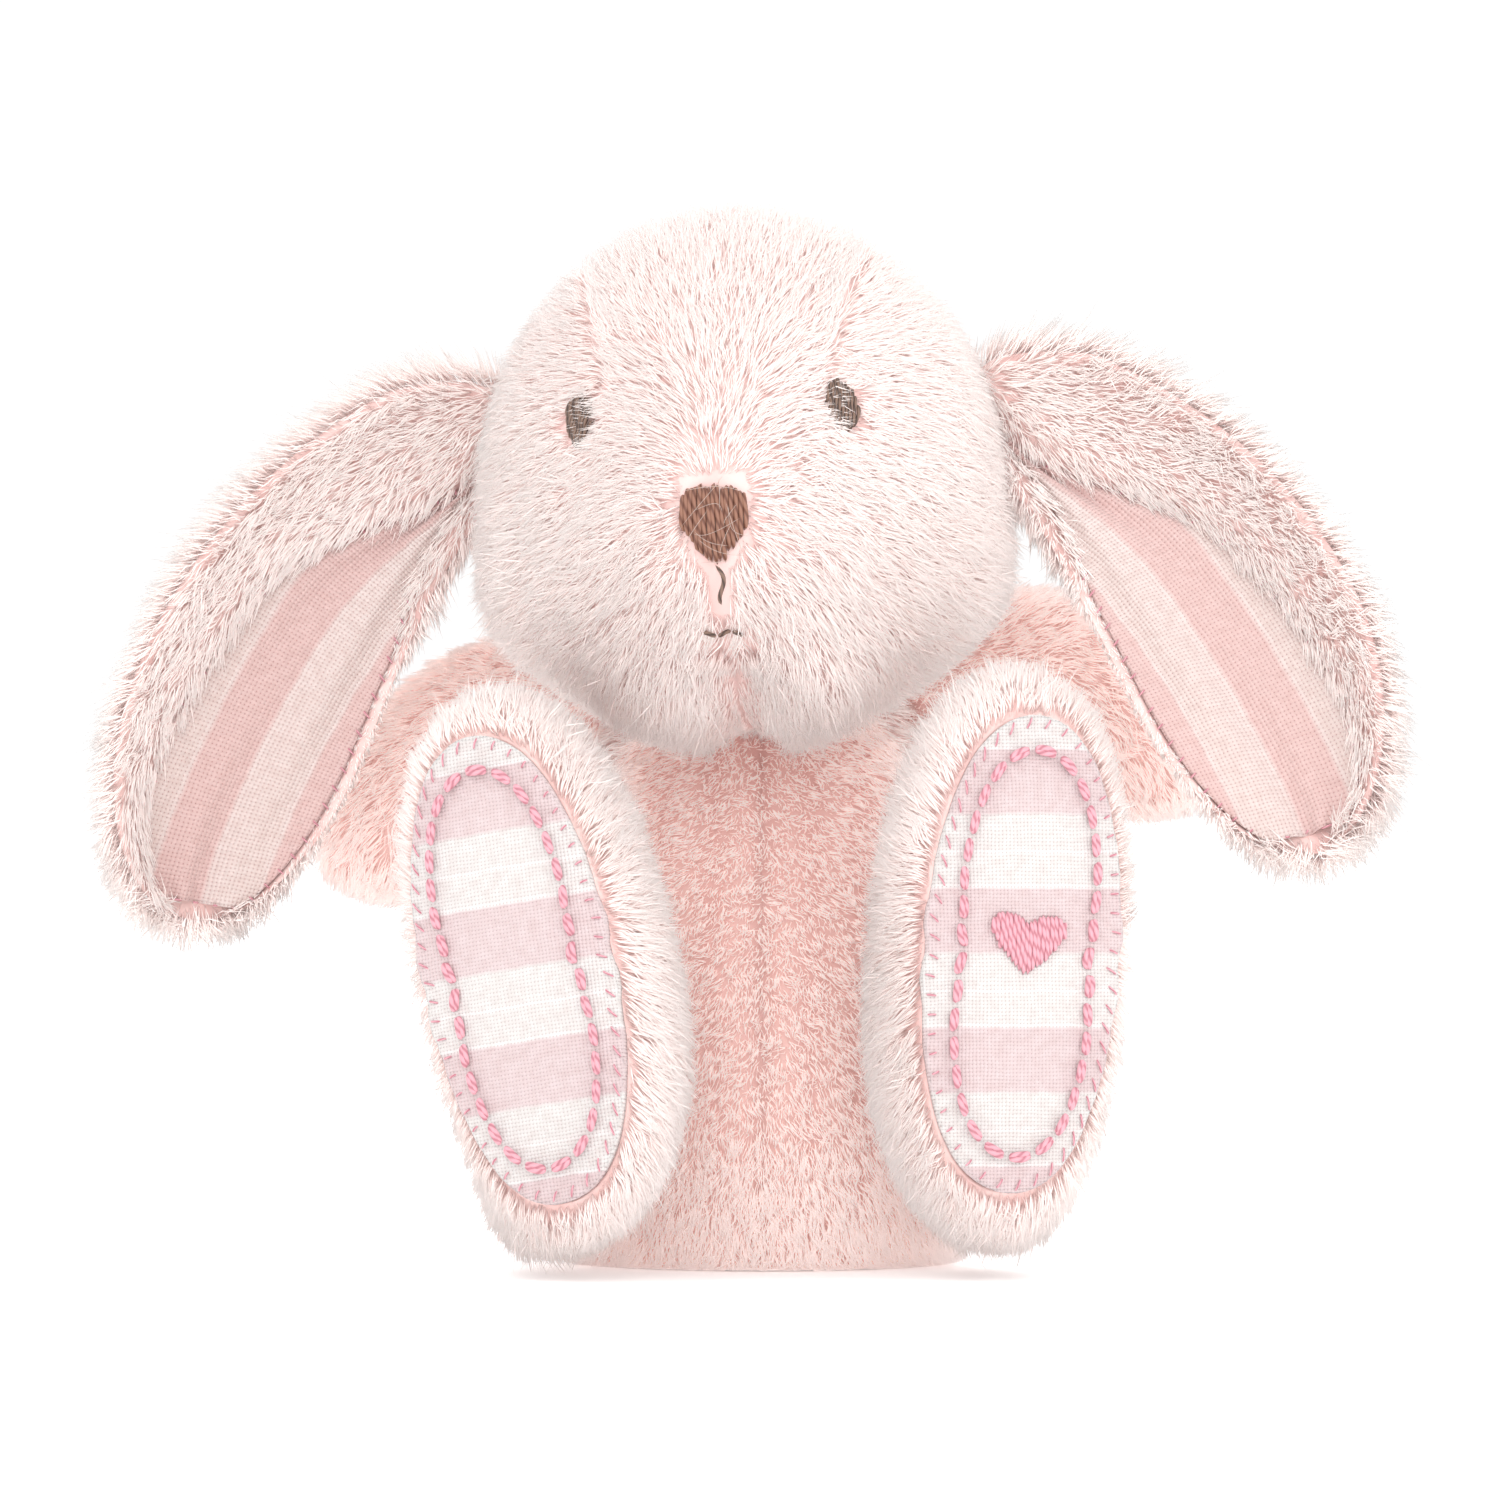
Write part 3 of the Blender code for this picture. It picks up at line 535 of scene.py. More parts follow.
def turned(degrees, axis):
    """The 3 by 3 matrix that turns by an angle about the X, Y or Z axis, 0, 1 or 2."""
    angle = math.radians(degrees)
    matrix = np.eye(3)
    first, second = [(1, 2), (2, 0), (0, 1)][axis]
    matrix[first, first] = matrix[second, second] = math.cos(angle)
    matrix[first, second], matrix[second, first] = -math.sin(angle), math.sin(angle)
    return matrix


def put(points, turn, middle):
    """Points turned by a matrix, then moved to middle."""
    return points @ turn.T + middle


def box_middle(nodes):
    """The middle of the box round these CAD nodes."""
    corners = np.array([[np.array(corner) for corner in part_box(node)] for node in nodes])
    return (corners[:, 0].min(axis=0) + corners[:, 1].max(axis=0)) / 2


HEAD_TURN = turned(HEAD_YAW, 2) @ turned(HEAD_ROLL, 1)
HEAD_BALL, HEAD_TRIANGLES = ball_grid(96, 72)
HEAD_OWN = head_form(HEAD_BALL) @ HEAD_TURN.T
HEAD_AT = box_middle(HEAD_TUFTS) - (HEAD_OWN.min(axis=0) + HEAD_OWN.max(axis=0)) / 2


def gusset_seam(sign):
    """A point on one of the gusset's seams and the normal of the plane that the seam lies in."""
    point = put(np.array([sign * GUSSET_HALF_WIDTH, 0, 0]), HEAD_TURN, HEAD_AT)
    return point, HEAD_TURN @ [sign, 0, -GUSSET_WIDENING]


def apart_on_head(roots, looks):
    """Across and up distances of roots from where the head's surface lies in a direction."""
    own = (roots - HEAD_AT) @ HEAD_TURN
    middle = head_form(unit(looks)[None])[0]
    right = unit(np.cross(unit(looks), [0, 0, 1.0]))
    above = np.cross(right, unit(looks))
    ahead = (own - middle) @ unit(looks)
    return -(own - middle) @ right, (own - middle) @ above, ahead


def clear_of_face(roots):
    """False where a root is under the nose's or an eye's stitches."""
    across, up, ahead = apart_on_head(roots, NOSE_ON_HEAD)
    tapering = 1 - 0.7 * np.clip(-up / (4.8 * MM), 0, 1) ** 1.5
    under = (np.abs(across) < 2.8 * MM * tapering) & (np.abs(up) < 4.0 * MM)
    under |= (np.abs(across) < 0.7 * MM) & (up < 0) & (up > -9.0 * MM)
    under |= (np.abs(across) < 2.6 * MM) & (np.abs(up + 12.3 * MM) < 0.9 * MM)
    for looks_at in EYE_ON_HEAD.values():
        eye_across, eye_up, _ = apart_on_head(roots, looks_at)
        under |= (eye_across / (1.5 * MM)) ** 2 + (eye_up / (2.3 * MM)) ** 2 < 1
    return ~under | (ahead < -14 * MM)


def head_pile(roots, normals):
    """Brushed from the nose up over the gusset to the nape, and out and down over the cheeks."""
    own = (roots - HEAD_AT) @ HEAD_TURN
    looks = unit(own / [HEAD_WIDTH, HEAD_DEPTH, HEAD_HEIGHT])
    x, y, z = looks.T
    brow = np.clip(z * 1.6 - np.abs(x) * 0.4, 0, 1)
    rising = brow * np.clip(1 - 2.5 * y, 0, 1)
    comb = np.stack([x * (1.5 - 0.6 * brow), 0.35 + 0.2 * brow, 1.15 * rising - 0.62], axis=1)
    comb = comb @ HEAD_TURN.T
    before = np.clip(0.4 - y, 0, 1)[:, None]
    comb += seam_parting(roots, [gusset_seam(1), gusset_seam(-1)], 1.7 * MM) * 0.45 * before
    across, up, _ = apart_on_head(roots, NOSE_ON_HEAD)
    by_nose = np.exp(-(across**2 + up**2) / (7 * MM) ** 2) * (y < 0)
    by_mouth = np.exp(-((across / (2.5 * MM)) ** 2)) * (up < -4 * MM) * (up > -26 * MM) * (y < 0)
    comb += (np.stack([across, 0 * up, up], axis=1) / (3 * MM) * by_nose[:, None]) @ HEAD_TURN.T
    comb += (np.sign(across) * by_mouth)[:, None] * 0.9 * HEAD_TURN[:, 0]
    by_eye = np.zeros(len(roots))
    for looks_at in EYE_ON_HEAD.values():
        eye_across, eye_up, _ = apart_on_head(roots, looks_at)
        by_eye += np.exp(-(eye_across**2 + eye_up**2) / (4 * MM) ** 2) * (y < 0)
    chin = np.exp(-((x / 0.5) ** 4) - ((z + 0.85) / 0.3) ** 2) * (y < 0.1)
    comb += chin[:, None] * np.array([0, -0.2, -2.0])
    notch = np.exp(-((across / (2.1 * MM)) ** 2)) * np.clip((-up - 13 * MM) / (3 * MM), 0, 1) * (y < 0.1)
    cheek = np.exp(-(((np.abs(x) - 0.85) / 0.3) ** 2) - ((z + 0.4) / 0.3) ** 2)
    length = 4.3 - 1.1 * by_nose - 1.3 * by_eye - 0.7 * brow + 1.4 * cheek + 1.4 * chin - 4.4 * notch
    return {
        "comb": comb,
        "length": length * MM,
        "lean": 0.95 + 0.1 * by_nose + 0.1 * by_eye - 0.1 * brow - 0.15 * cheek - 0.3 * chin,
        # painted shade: the pile round the nose takes a deeper tone, to dim the light its flat outward
        # brushing catches from the front
        "tone": 0.72 - 0.15 * by_nose - 0.15 * brow - 0.6 * notch + 0.05 * x * np.sin(roots[:, 2] * 500),
        "width": 0.15 * MM,
        "keep": clear_of_face(roots),
        "scatter": 0.34,
        "clumping": 0.4,
    }


middle_cut = HEAD_TURN @ [1.0, 0, 0]
head_cuts = {"head_gusset": [gusset_seam(1), gusset_seam(-1)]}
for side, sign in SIDES.items():
    point, normal = gusset_seam(sign)
    head_cuts[f"head_side_{side}"] = [(point, -normal), (HEAD_AT, -sign * middle_cut)]
for seed, (node, cuts) in enumerate(head_cuts.items()):
    panel = cut_open(put(head_form(HEAD_BALL), HEAD_TURN, HEAD_AT), HEAD_TRIANGLES, cuts)
    add_backing(f"{node}_backing", "head", "plush", panel, node)
    add_pile(f"{node}_pile", "head", "plush", panel, HEAD_TUFTS[node], head_pile, 100 + seed)

# ---------------------------------------------------------------------------------------------
# Face: eyes and nose are satin-stitched by machine in brown rayon thread, the nose in upright
# stitches that end in a blunt point, with a thread down to the mouth and one short stitch below.

NOSE_HALF_WIDTH = 3.6 * MM
NOSE_HALF_HEIGHT = 4.8 * MM
NOSE_THREAD_SPACING = 0.475 * MM
EYE_SIZE = (3.2 * MM, 5.2 * MM)
EYE_THREAD_SPACING = 0.36 * MM
EYE_THREAD_ANGLE = math.radians(-20)
MOUTH_THREAD_RADIUS = 0.22 * MM
STRAY_FIBRES = 14
THREAD_STATIONS = 13
THREAD_STEPS = np.linspace(0, 1, THREAD_STATIONS)


def form_places(form, looks):
    """Points and outward normals of a form in these directions, from two short steps along it."""
    looks = unit(looks)
    side = unit(np.cross(looks, [0.0, 0.31, 0.95]))
    other = np.cross(looks, side)
    here = form(looks)
    first = form(unit(looks + 0.01 * side)) - here
    second = form(unit(looks + 0.01 * other)) - here
    return here, unit(np.cross(first, second))


def on_head(looks, across, up, lift):
    """World places at distances across and up from a direction on the head, lifted off its surface."""
    middle = unit(looks)
    right = unit(np.cross(middle, [0, 0, -1.0]))
    above = np.cross(middle, right)
    reach = np.linalg.norm(head_form(middle[None])[0])
    shape = np.shape(across)
    spread = middle + (np.ravel(across)[:, None] * right + np.ravel(up)[:, None] * above) / reach
    points, normals = form_places(head_form, spread)
    points = points + normals * np.ravel(lift)[:, None]
    return put(points, HEAD_TURN, HEAD_AT).reshape(*shape, 3), (normals @ HEAD_TURN.T).reshape(*shape, 3)


def satin(outline, spacing, ragged, rng, rows_angle=0.0):
    """Side by side stitches that fill an outline: across and up places of each thread's line.

    The outline is a closed row of points. Each line runs between its lowest and highest crossing, and
    its ends vary by ragged."""
    cos, sin = math.cos(rows_angle), math.sin(rows_angle)
    turn = np.array([[cos, -sin], [sin, cos]])
    own = outline @ turn
    low, high = own[:, 0].min(), own[:, 0].max()
    count = int((high - low) / spacing)
    columns = np.linspace(low + spacing / 2, high - spacing / 2, count)
    following = np.roll(own, -1, axis=0)
    step = following[:, 0] - own[:, 0]
    share = (columns[:, None] - own[:, 0]) / np.where(step == 0, 1e-9, step)
    height = own[:, 1] + share * (following[:, 1] - own[:, 1])
    crossing = (share >= 0) & (share <= 1)
    bottom = np.where(crossing, height, np.inf).min(axis=1) + rng.normal(0, ragged, count)
    top = np.where(crossing, height, -np.inf).max(axis=1) + rng.normal(0, ragged, count)
    up = bottom[:, None] + (top - bottom)[:, None] * THREAD_STEPS
    across = columns[:, None] + spacing * 0.12 * np.sin(THREAD_STEPS * 7 + rng.random((count, 1)) * 6)
    back = np.stack([across, up], axis=-1) @ turn.T
    return back[..., 0], back[..., 1]


def rounded_off(power):
    """Along a stitch: sqrt(1 - |2 s - 1|^power), which is 1 in the middle and 0 at both ends."""
    return np.sqrt(np.clip(1 - np.abs(2 * THREAD_STEPS - 1) ** power, 0, 1))


def arc_length(path):
    """The distance along each row of path."""
    steps = np.linalg.norm(np.diff(path, axis=1), axis=2)
    return np.concatenate([np.zeros((len(path), 1)), np.cumsum(steps, axis=1)], axis=1)


def add_threads(name, body, path, up, radius, material, node, sides=8):
    """Threads as tubes along path, rounded off at both ends, in the place of a CAD node if it is given.

    v is the length along the thread, and each thread starts its twist further on than the last."""
    started = 1.7 * MM * np.arange(len(path))[:, None]
    radii = np.broadcast_to(radius * rounded_off(6), path.shape[:2])
    points, triangles, uvs = spun(path, up, radii, sides, 0.0, 1.0, arc_length(path) + started)
    threads = add_mesh(name, points, triangles, "thread", uvs)
    threads.data.materials.append(material)
    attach(threads, body)
    if node:
        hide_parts(node)


def thread_material(name, shaded_groove, crest, ply_pitch):
    """Twisted thread: two plies that wind round it, with painted shade in the grooves between them, and a
    silky gloss.
    """
    material, tree, shader = new_material(name, Roughness=0.5, Sheen_Weight=0.15, Sheen_Roughness=0.4)
    own = add_node(tree, "ShaderNodeUVMap", {}, uv_map="thread")
    place = add_node(tree, "ShaderNodeSeparateXYZ", {"Vector": own.outputs["UV"]})
    wound = add_node(
        tree,
        "ShaderNodeMath",
        {0: place.outputs["Y"], 1: 1 / ply_pitch, 2: place.outputs["X"]},
        operation="MULTIPLY_ADD",
    )
    wave = add_node(tree, "ShaderNodeMath", {0: wound.outputs[0], 1: 4 * math.pi}, operation="MULTIPLY")
    wave = add_node(tree, "ShaderNodeMath", {0: wave.outputs[0]}, operation="SINE")
    height = add_node(
        tree, "ShaderNodeMath", {0: wave.outputs[0], 1: 0.5, 2: 0.5}, operation="MULTIPLY_ADD"
    )
    # painted shade: the colour darkens into the grooves between the plies, following the bump's height
    colour = ramp(tree, height.outputs[0], [(0.0, shaded_groove), (0.6, crest)])
    tree.links.new(colour, shader.inputs["Base Color"])
    bump = add_node(
        tree,
        "ShaderNodeBump",
        {"Height": height.outputs[0], "Strength": 0.6, "Distance": 0.08 * MM},
    )
    tree.links.new(bump.outputs["Normal"], shader.inputs["Normal"])
    return material


# The ply pitch is drawn several times coarser than a real thread's, so that the twist shows.
# Each thread's first colour is painted shade in the grooves between its plies.
BROWN_THREAD = thread_material("brown_rayon_thread", "#63392A", "#906552", 3.2 * MM)
EYE_THREAD = thread_material("dark_brown_thread", "#41302A", "#7C6254", 3.2 * MM)

# Loose fibres of the pile that lie over the nose: pale, matt hair lines across the brown.
STRAY_FIBRE = new_material("stray_pile_fibre", Roughness=0.7, Base_Color=linear("#C4AFA6"))[0]


def nose_outline():
    """A shield: a broad, slightly hollow top and sides that run in to a blunt point below."""
    turn = np.linspace(0, 2 * math.pi, 90, endpoint=False)
    across, up = np.cos(turn), np.sin(turn)
    narrowing = 1 - 0.72 * np.clip(-up, 0, 1) ** 1.4
    height = np.where(up > 0, 0.90 * np.abs(up) ** 0.42, -np.abs(up) ** 0.85)
    wide = np.sign(across) * np.abs(across) ** 0.75 * narrowing
    return np.stack([NOSE_HALF_WIDTH * wide, NOSE_HALF_HEIGHT * height], axis=1)


def oval(width, height):
    """The outline of an ellipse."""
    turn = np.linspace(0, 2 * math.pi, 60, endpoint=False)
    return np.stack([width / 2 * np.cos(turn), height / 2 * np.sin(turn)], axis=1)


def stitched_patch(name, looks, outline, spacing, ragged, angle, material, node, seed):
    """Satin stitches laid on the head, raised by a hidden layer of the same thread."""
    rng = np.random.default_rng(seed)
    across, up = satin(outline, spacing, ragged, rng, angle)
    lift = (1.15 * rounded_off(4) - 0.15) * MM
    path, normals = on_head(looks, across, up, np.broadcast_to(lift, across.shape))
    middle = normals[:, THREAD_STATIONS // 2]
    add_threads(name, "head", path, middle, spacing * 0.56, material, node)


def add_face_thread(name, across, up, lift, radius, material, node, sides=8):
    """Threads that lie near the nose, at distances across, up and off the head's surface."""
    path, normals = on_head(NOSE_ON_HEAD, across, up, lift + np.zeros_like(across))
    middle = normals[:, THREAD_STATIONS // 2]
    add_threads(name, "head", path, middle, radius, material, node, sides)


stitched_patch(
    "nose_stitches",
    NOSE_ON_HEAD,
    nose_outline(),
    NOSE_THREAD_SPACING,
    0.22 * MM,
    0.0,
    BROWN_THREAD,
    "nose",
    11,
)
for side in SIDES:
    stitched_patch(
        f"eye_{side}_stitches",
        EYE_ON_HEAD[side],
        oval(*EYE_SIZE),
        EYE_THREAD_SPACING,
        0.1 * MM,
        EYE_THREAD_ANGLE,
        EYE_THREAD,
        f"eye_{side}",
        12,
    )


def stray_fibres():
    """Fine fibres between random places on the nose, each bowed as half a sine wave, and their lift."""
    rng = np.random.default_rng(31)
    start, end = rng.uniform(-1, 1, (2, STRAY_FIBRES, 1, 2)) * [NOSE_HALF_WIDTH, 4.4 * MM]
    bow = np.sin(THREAD_STEPS * math.pi)[None] * rng.normal(0, 0.9 * MM, (STRAY_FIBRES, 1))
    line = start + (end - start) * THREAD_STEPS[None, :, None]
    lift = (1.35 + rng.uniform(0, 0.25, (STRAY_FIBRES, 1))) * MM
    return line[..., 0] + bow, line[..., 1] + bow, lift


across, up, lift = stray_fibres()
add_face_thread(
    "nose_stray_fibres", across, up, lift, 0.03 * MM, STRAY_FIBRE, None, TUFT_SIDES
)
across = (0.5 * np.sin(THREAD_STEPS * 5.2) + 0.7 * THREAD_STEPS)[None] * MM
up = (-4.4 - 4.4 * THREAD_STEPS)[None] * MM
add_face_thread(
    "lip_thread_brown",
    across,
    up,
    1.3 * MM,
    MOUTH_THREAD_RADIUS,
    EYE_THREAD,
    "lip_thread",
)
stitches = np.array([[-2.3, -0.9], [-0.7, 0.9], [1.1, 2.3]])
across = stitches[:, :1] + (stitches[:, 1:] - stitches[:, :1]) * THREAD_STEPS
add_face_thread(
    "mouth_stitch_brown",
    across * MM,
    (-12.3 + 0.3 * np.sin(across * 2)) * MM,
    1.4 * MM,
    MOUTH_THREAD_RADIUS,
    EYE_THREAD,
    "mouth_stitch",
)

# ---------------------------------------------------------------------------------------------
# Ears: each a leaf of long plush, sewn to the side of the head at the root and hanging by its own
# weight. The outer edge rolls forward over a lining of open plain-weave cotton gauze in pink and
# white stripes, which is whip-stitched in along its rim.

EAR_LENGTH = 63.0 * MM
EAR_WIDTH = 24.5 * MM
EAR_ROOT_WIDTH = 13.0 * MM
EAR_WIDEST_AT = 0.66
EAR_ROOT_OPENS = 0.70
EAR_CUP = 3.6 * MM
EAR_OUTER_ROLL = 1.6
EAR_HINGE_INSET = 2.0 * MM
EAR_BACK = 2.6 * MM
EAR_TURNS = {"left": (-14.0, -75.0, 0.55), "right": (-16.0, -82.0, 0.6)}
EAR_FORWARD = {"left": 8.0, "right": 8.0}
EAR_TIP_FORWARD = {"left": 20.0, "right": 0.0}
EAR_TUFTS = 30500
LINING_FROM, LINING_TO = 0.105, 0.972
RIM_SPACING = 2.0 * MM
WHIP_SLANT = 0.5


def curve_along(share, length, turns):
    """Places and angles on a curve in the XZ plane whose angle above +X follows a power of its length."""
    turn_from, turn_to = math.radians(turns[0]), math.radians(turns[1])
    steps = np.linspace(0, 1, 201)
    angles = turn_from + (turn_to - turn_from) * steps ** turns[2]
    run = np.cumsum(np.stack([np.cos(angles), np.sin(angles)], axis=1), axis=0) * length / (len(steps) - 1)
    run -= run[0]
    angle = turn_from + (turn_to - turn_from) * share ** turns[2]
    return np.interp(share, steps, run[:, 0]), np.interp(share, steps, run[:, 1]), angle


def swept(directions, length, turns, half_width, half_depth):
    """A tube along that curve, closed at both ends: the ball's +Z pole is its start."""
    share = (1 - directions[:, 2]) / 2
    opened = np.sqrt(np.clip(1 - directions[:, 2] ** 2, 1e-12, 1))
    along_x, along_z, angle = curve_along(share, length, turns)
    across = half_width(share, opened) * directions[:, 0] / opened
    depth = half_depth(share, opened) * directions[:, 1] / opened
    return np.stack([along_x - np.sin(angle) * across, depth, along_z + np.cos(angle) * across], axis=1)


def ear_half_width(share):
    """Grows in an easy curve from the root to the widest place, then closes as half an ellipse."""
    grow = np.sin(np.clip(share / EAR_WIDEST_AT, 0, 1) * math.pi / 2) ** 1.3
    close = np.clip((share - EAR_WIDEST_AT) / (1 - EAR_WIDEST_AT), 0, 1)
    opened = np.sqrt(np.clip(1 - (1 - 2 * share) ** 2, 0, 1))
    root_round = np.clip(opened / EAR_ROOT_OPENS, 0, 1) ** 0.9
    width = EAR_ROOT_WIDTH + (EAR_WIDTH - EAR_ROOT_WIDTH) * grow
    return width / 2 * np.where(share < 0.5, root_round, np.sqrt(1 - close**2))


def lining_edges(share):
    """The lining's inner and outer edge across the ear, as shares of its half width, -1 to 1."""
    opening = np.clip((share - 0.09) / 0.41, 0, 1)
    easing = opening * opening * (3 - 2 * opening)
    inner = -0.90 + 0.25 * (1 - easing)
    outer = -0.60 + easing * (0.95 + 0.38 * np.clip((share - 0.5) / 0.45, 0, 1))
    return inner, np.maximum(outer, inner + 0.02)


def ear_place(side, share, across, depth):
    """The world place at a share of the ear's length, a share of its half width and a depth behind
    its middle sheet, which is cupped forwards by the square of across, more at the outer edge."""
    half = ear_half_width(share) * across
    along_x, along_z, angle = curve_along(share, EAR_LENGTH, EAR_TURNS[side])
    rolled = EAR_CUP * (half / (EAR_WIDTH / 2)) ** 2 * np.where(across > 0, EAR_OUTER_ROLL, 1.0)
    own = np.stack([along_x - np.sin(angle) * half, depth - rolled, along_z + np.cos(angle) * half], axis=-1)
    own = own * [SIDES[side], 1, 1]
    return put(own, EAR_AXES[side], EAR_AT[side])


EAR_AXES, EAR_AT = {}, {}
for side, sign in SIDES.items():
    start = math.radians(EAR_TURNS[side][0])
    along = np.array([sign * math.cos(start), 0, math.sin(start)])
    EAR_AXES[side] = turned(-sign * EAR_FORWARD[side], 2) @ turned(-EAR_TIP_FORWARD[side], 0)
    EAR_AT[side] = JOINT_AT[f"ear_{side}_lift"] - EAR_AXES[side] @ along * EAR_HINGE_INSET


def front_of_ear(share, across):
    """How far the plush's front face stands before the middle sheet: a soft roll outside the lining."""
    inner, outer = lining_edges(share)
    half = np.maximum(ear_half_width(share), 1e-6)
    beyond = np.maximum(across - outer, inner - across) * half
    roll = np.clip(beyond / (2.2 * MM), 0, 1)
    return 2.0 * MM * np.sqrt(roll) * np.where(across > outer, 1.0, 0.55) - 0.35 * MM


def ear_leaf(side):
    """The ear's plush as a closed leaf between its back and its rolled front."""
    directions, triangles = ball_grid(96, 72)
    share = (1 - directions[:, 2]) / 2
    opened = np.sqrt(np.clip(1 - directions[:, 2] ** 2, 1e-12, 1))
    across, over = directions[:, 0] / opened, directions[:, 1] / opened
    at_pole = opened < 1e-5
    across, over = np.where(at_pole, 0, across), np.where(at_pole, 0, over)
    thinning = np.clip(opened / 0.3, 0, 1) ** 0.5
    back = EAR_BACK * thinning * np.clip(over, 0, 1)
    front = front_of_ear(share, across) * thinning * np.clip(-over * 2.5, 0, 1)
    points = ear_place(side, share, across, back - front)
    return points, facing_out(points, triangles)


def ear_styles(side):
    """How the pile of one ear is brushed and cut."""

    def ear_pile(roots, normals):
        """Brushed along the ear to its tip and out over both edges; none under the lining."""
        own = (roots - EAR_AT[side]) @ EAR_AXES[side] * [SIDES[side], 1, 1]
        shares = np.linspace(0, 1, 160)
        line_x, line_z, angles = curve_along(shares, EAR_LENGTH, EAR_TURNS[side])
        found = nearest(own[:, [0, 2]], np.stack([line_x, line_z], axis=1))
        share, angle = shares[found], angles[found]
        off = (own[:, 2] - line_z[found]) * np.cos(angle) - (own[:, 0] - line_x[found]) * np.sin(angle)
        across = off / np.maximum(ear_half_width(share), 1e-6)
        inner, outer = lining_edges(share)
        before = (normals @ EAR_AXES[side])[:, 1] < -0.15
        under = before & (across < outer) & (across > inner + 0.02) & (share > 0.11) & (share < 0.965)
        along = np.stack([np.cos(angle), 0 * angle, np.sin(angle)], axis=1)
        outwards = np.stack([-np.sin(angle), 0 * angle, np.cos(angle)], axis=1) * across[:, None]
        comb = along + 0.6 * outwards * np.abs(across)[:, None]
        comb += outwards * before[:, None] * 0.8
        comb = (comb * [SIDES[side], 1, 1]) @ EAR_AXES[side].T
        tip = np.clip((share - 0.8) / 0.2, 0, 1)
        inner_edge = np.clip(-across * 4 - 2.6, 0, 1) * np.clip((share - 0.3) * 5, 0, 1) * (1 - tip)
        outer_edge = np.clip(across * 4 - 2.6, 0, 1) * (1 + 1.6 * np.clip((0.6 - share) * 4, 0, 1))
        return {
            "comb": comb,
            "length": (4.4 + 1.2 * tip - 0.4 * before + 0.6 * outer_edge - 2.9 * inner_edge) * MM,
            "lean": 1.0 - 0.12 * outer_edge + 0.2 * inner_edge,
            # painted light: the ear's pile takes a paler tone than the head's, against the shade its own
            # tufts cast; a little deeper on its front face
            "tone": 0.88 - 0.08 * before,
            "keep": ~under,
            "width": 0.15 * MM,
            "scatter": 0.26,
            "clumping": 0.4,
        }

    return ear_pile


def ear_lining(side):
    """The gauze: a grid from the root to the tip, between its two edges, in soft lengthwise folds."""
    rows, columns = 110, 46
    share = np.linspace(LINING_FROM, LINING_TO, rows)[:, None]
    step = np.linspace(0, 1, columns)[None]
    inner, outer = lining_edges(share)
    across = inner + (outer - inner) * step
    folds = 0.5 * np.sin(step * 11 + share * 3) + 0.3 * np.sin(step * 21 - share * 4 + 1)
    middle = np.sin(step * math.pi)
    depth = (-0.45 - 0.9 * middle * np.sin(share * math.pi) + folds * middle) * MM
    points = ear_place(side, share + 0 * step, across, depth)
    width = ear_half_width(share) * (outer - inner)
    uv = np.stack([(step - 0.5) * width + 0 * share, share * EAR_LENGTH + 0 * step], axis=-1)
    return points, uv


def grid_triangles(rows, columns):
    """Two triangles for each cell of a grid of points, row after row."""
    corner = (np.arange(rows - 1)[:, None] * columns + np.arange(columns - 1)).ravel()
    first = np.stack([corner, corner + 1, corner + columns + 1], axis=1)
    second = np.stack([corner, corner + columns + 1, corner + columns], axis=1)
    return np.vstack([first, second])


def add_cloth(name, grid, uv, ahead):
    """A sheet of cloth from a grid of points, facing ahead, with its plan in metres as UV map cloth."""
    triangles = grid_triangles(*grid.shape[:2])
    points = grid.reshape(-1, 3)
    if corner_normals(points, triangles).mean(axis=0) @ ahead < 0:
        triangles = triangles[:, ::-1]
    cloth = add_mesh(name, points, triangles, "cloth", uv.reshape(-1, 2)[triangles.ravel()])
    wall = cloth.modifiers.new("cloth thickness", "SOLIDIFY")
    wall.thickness = 0.25 * MM
    wall.offset = -1
    return cloth


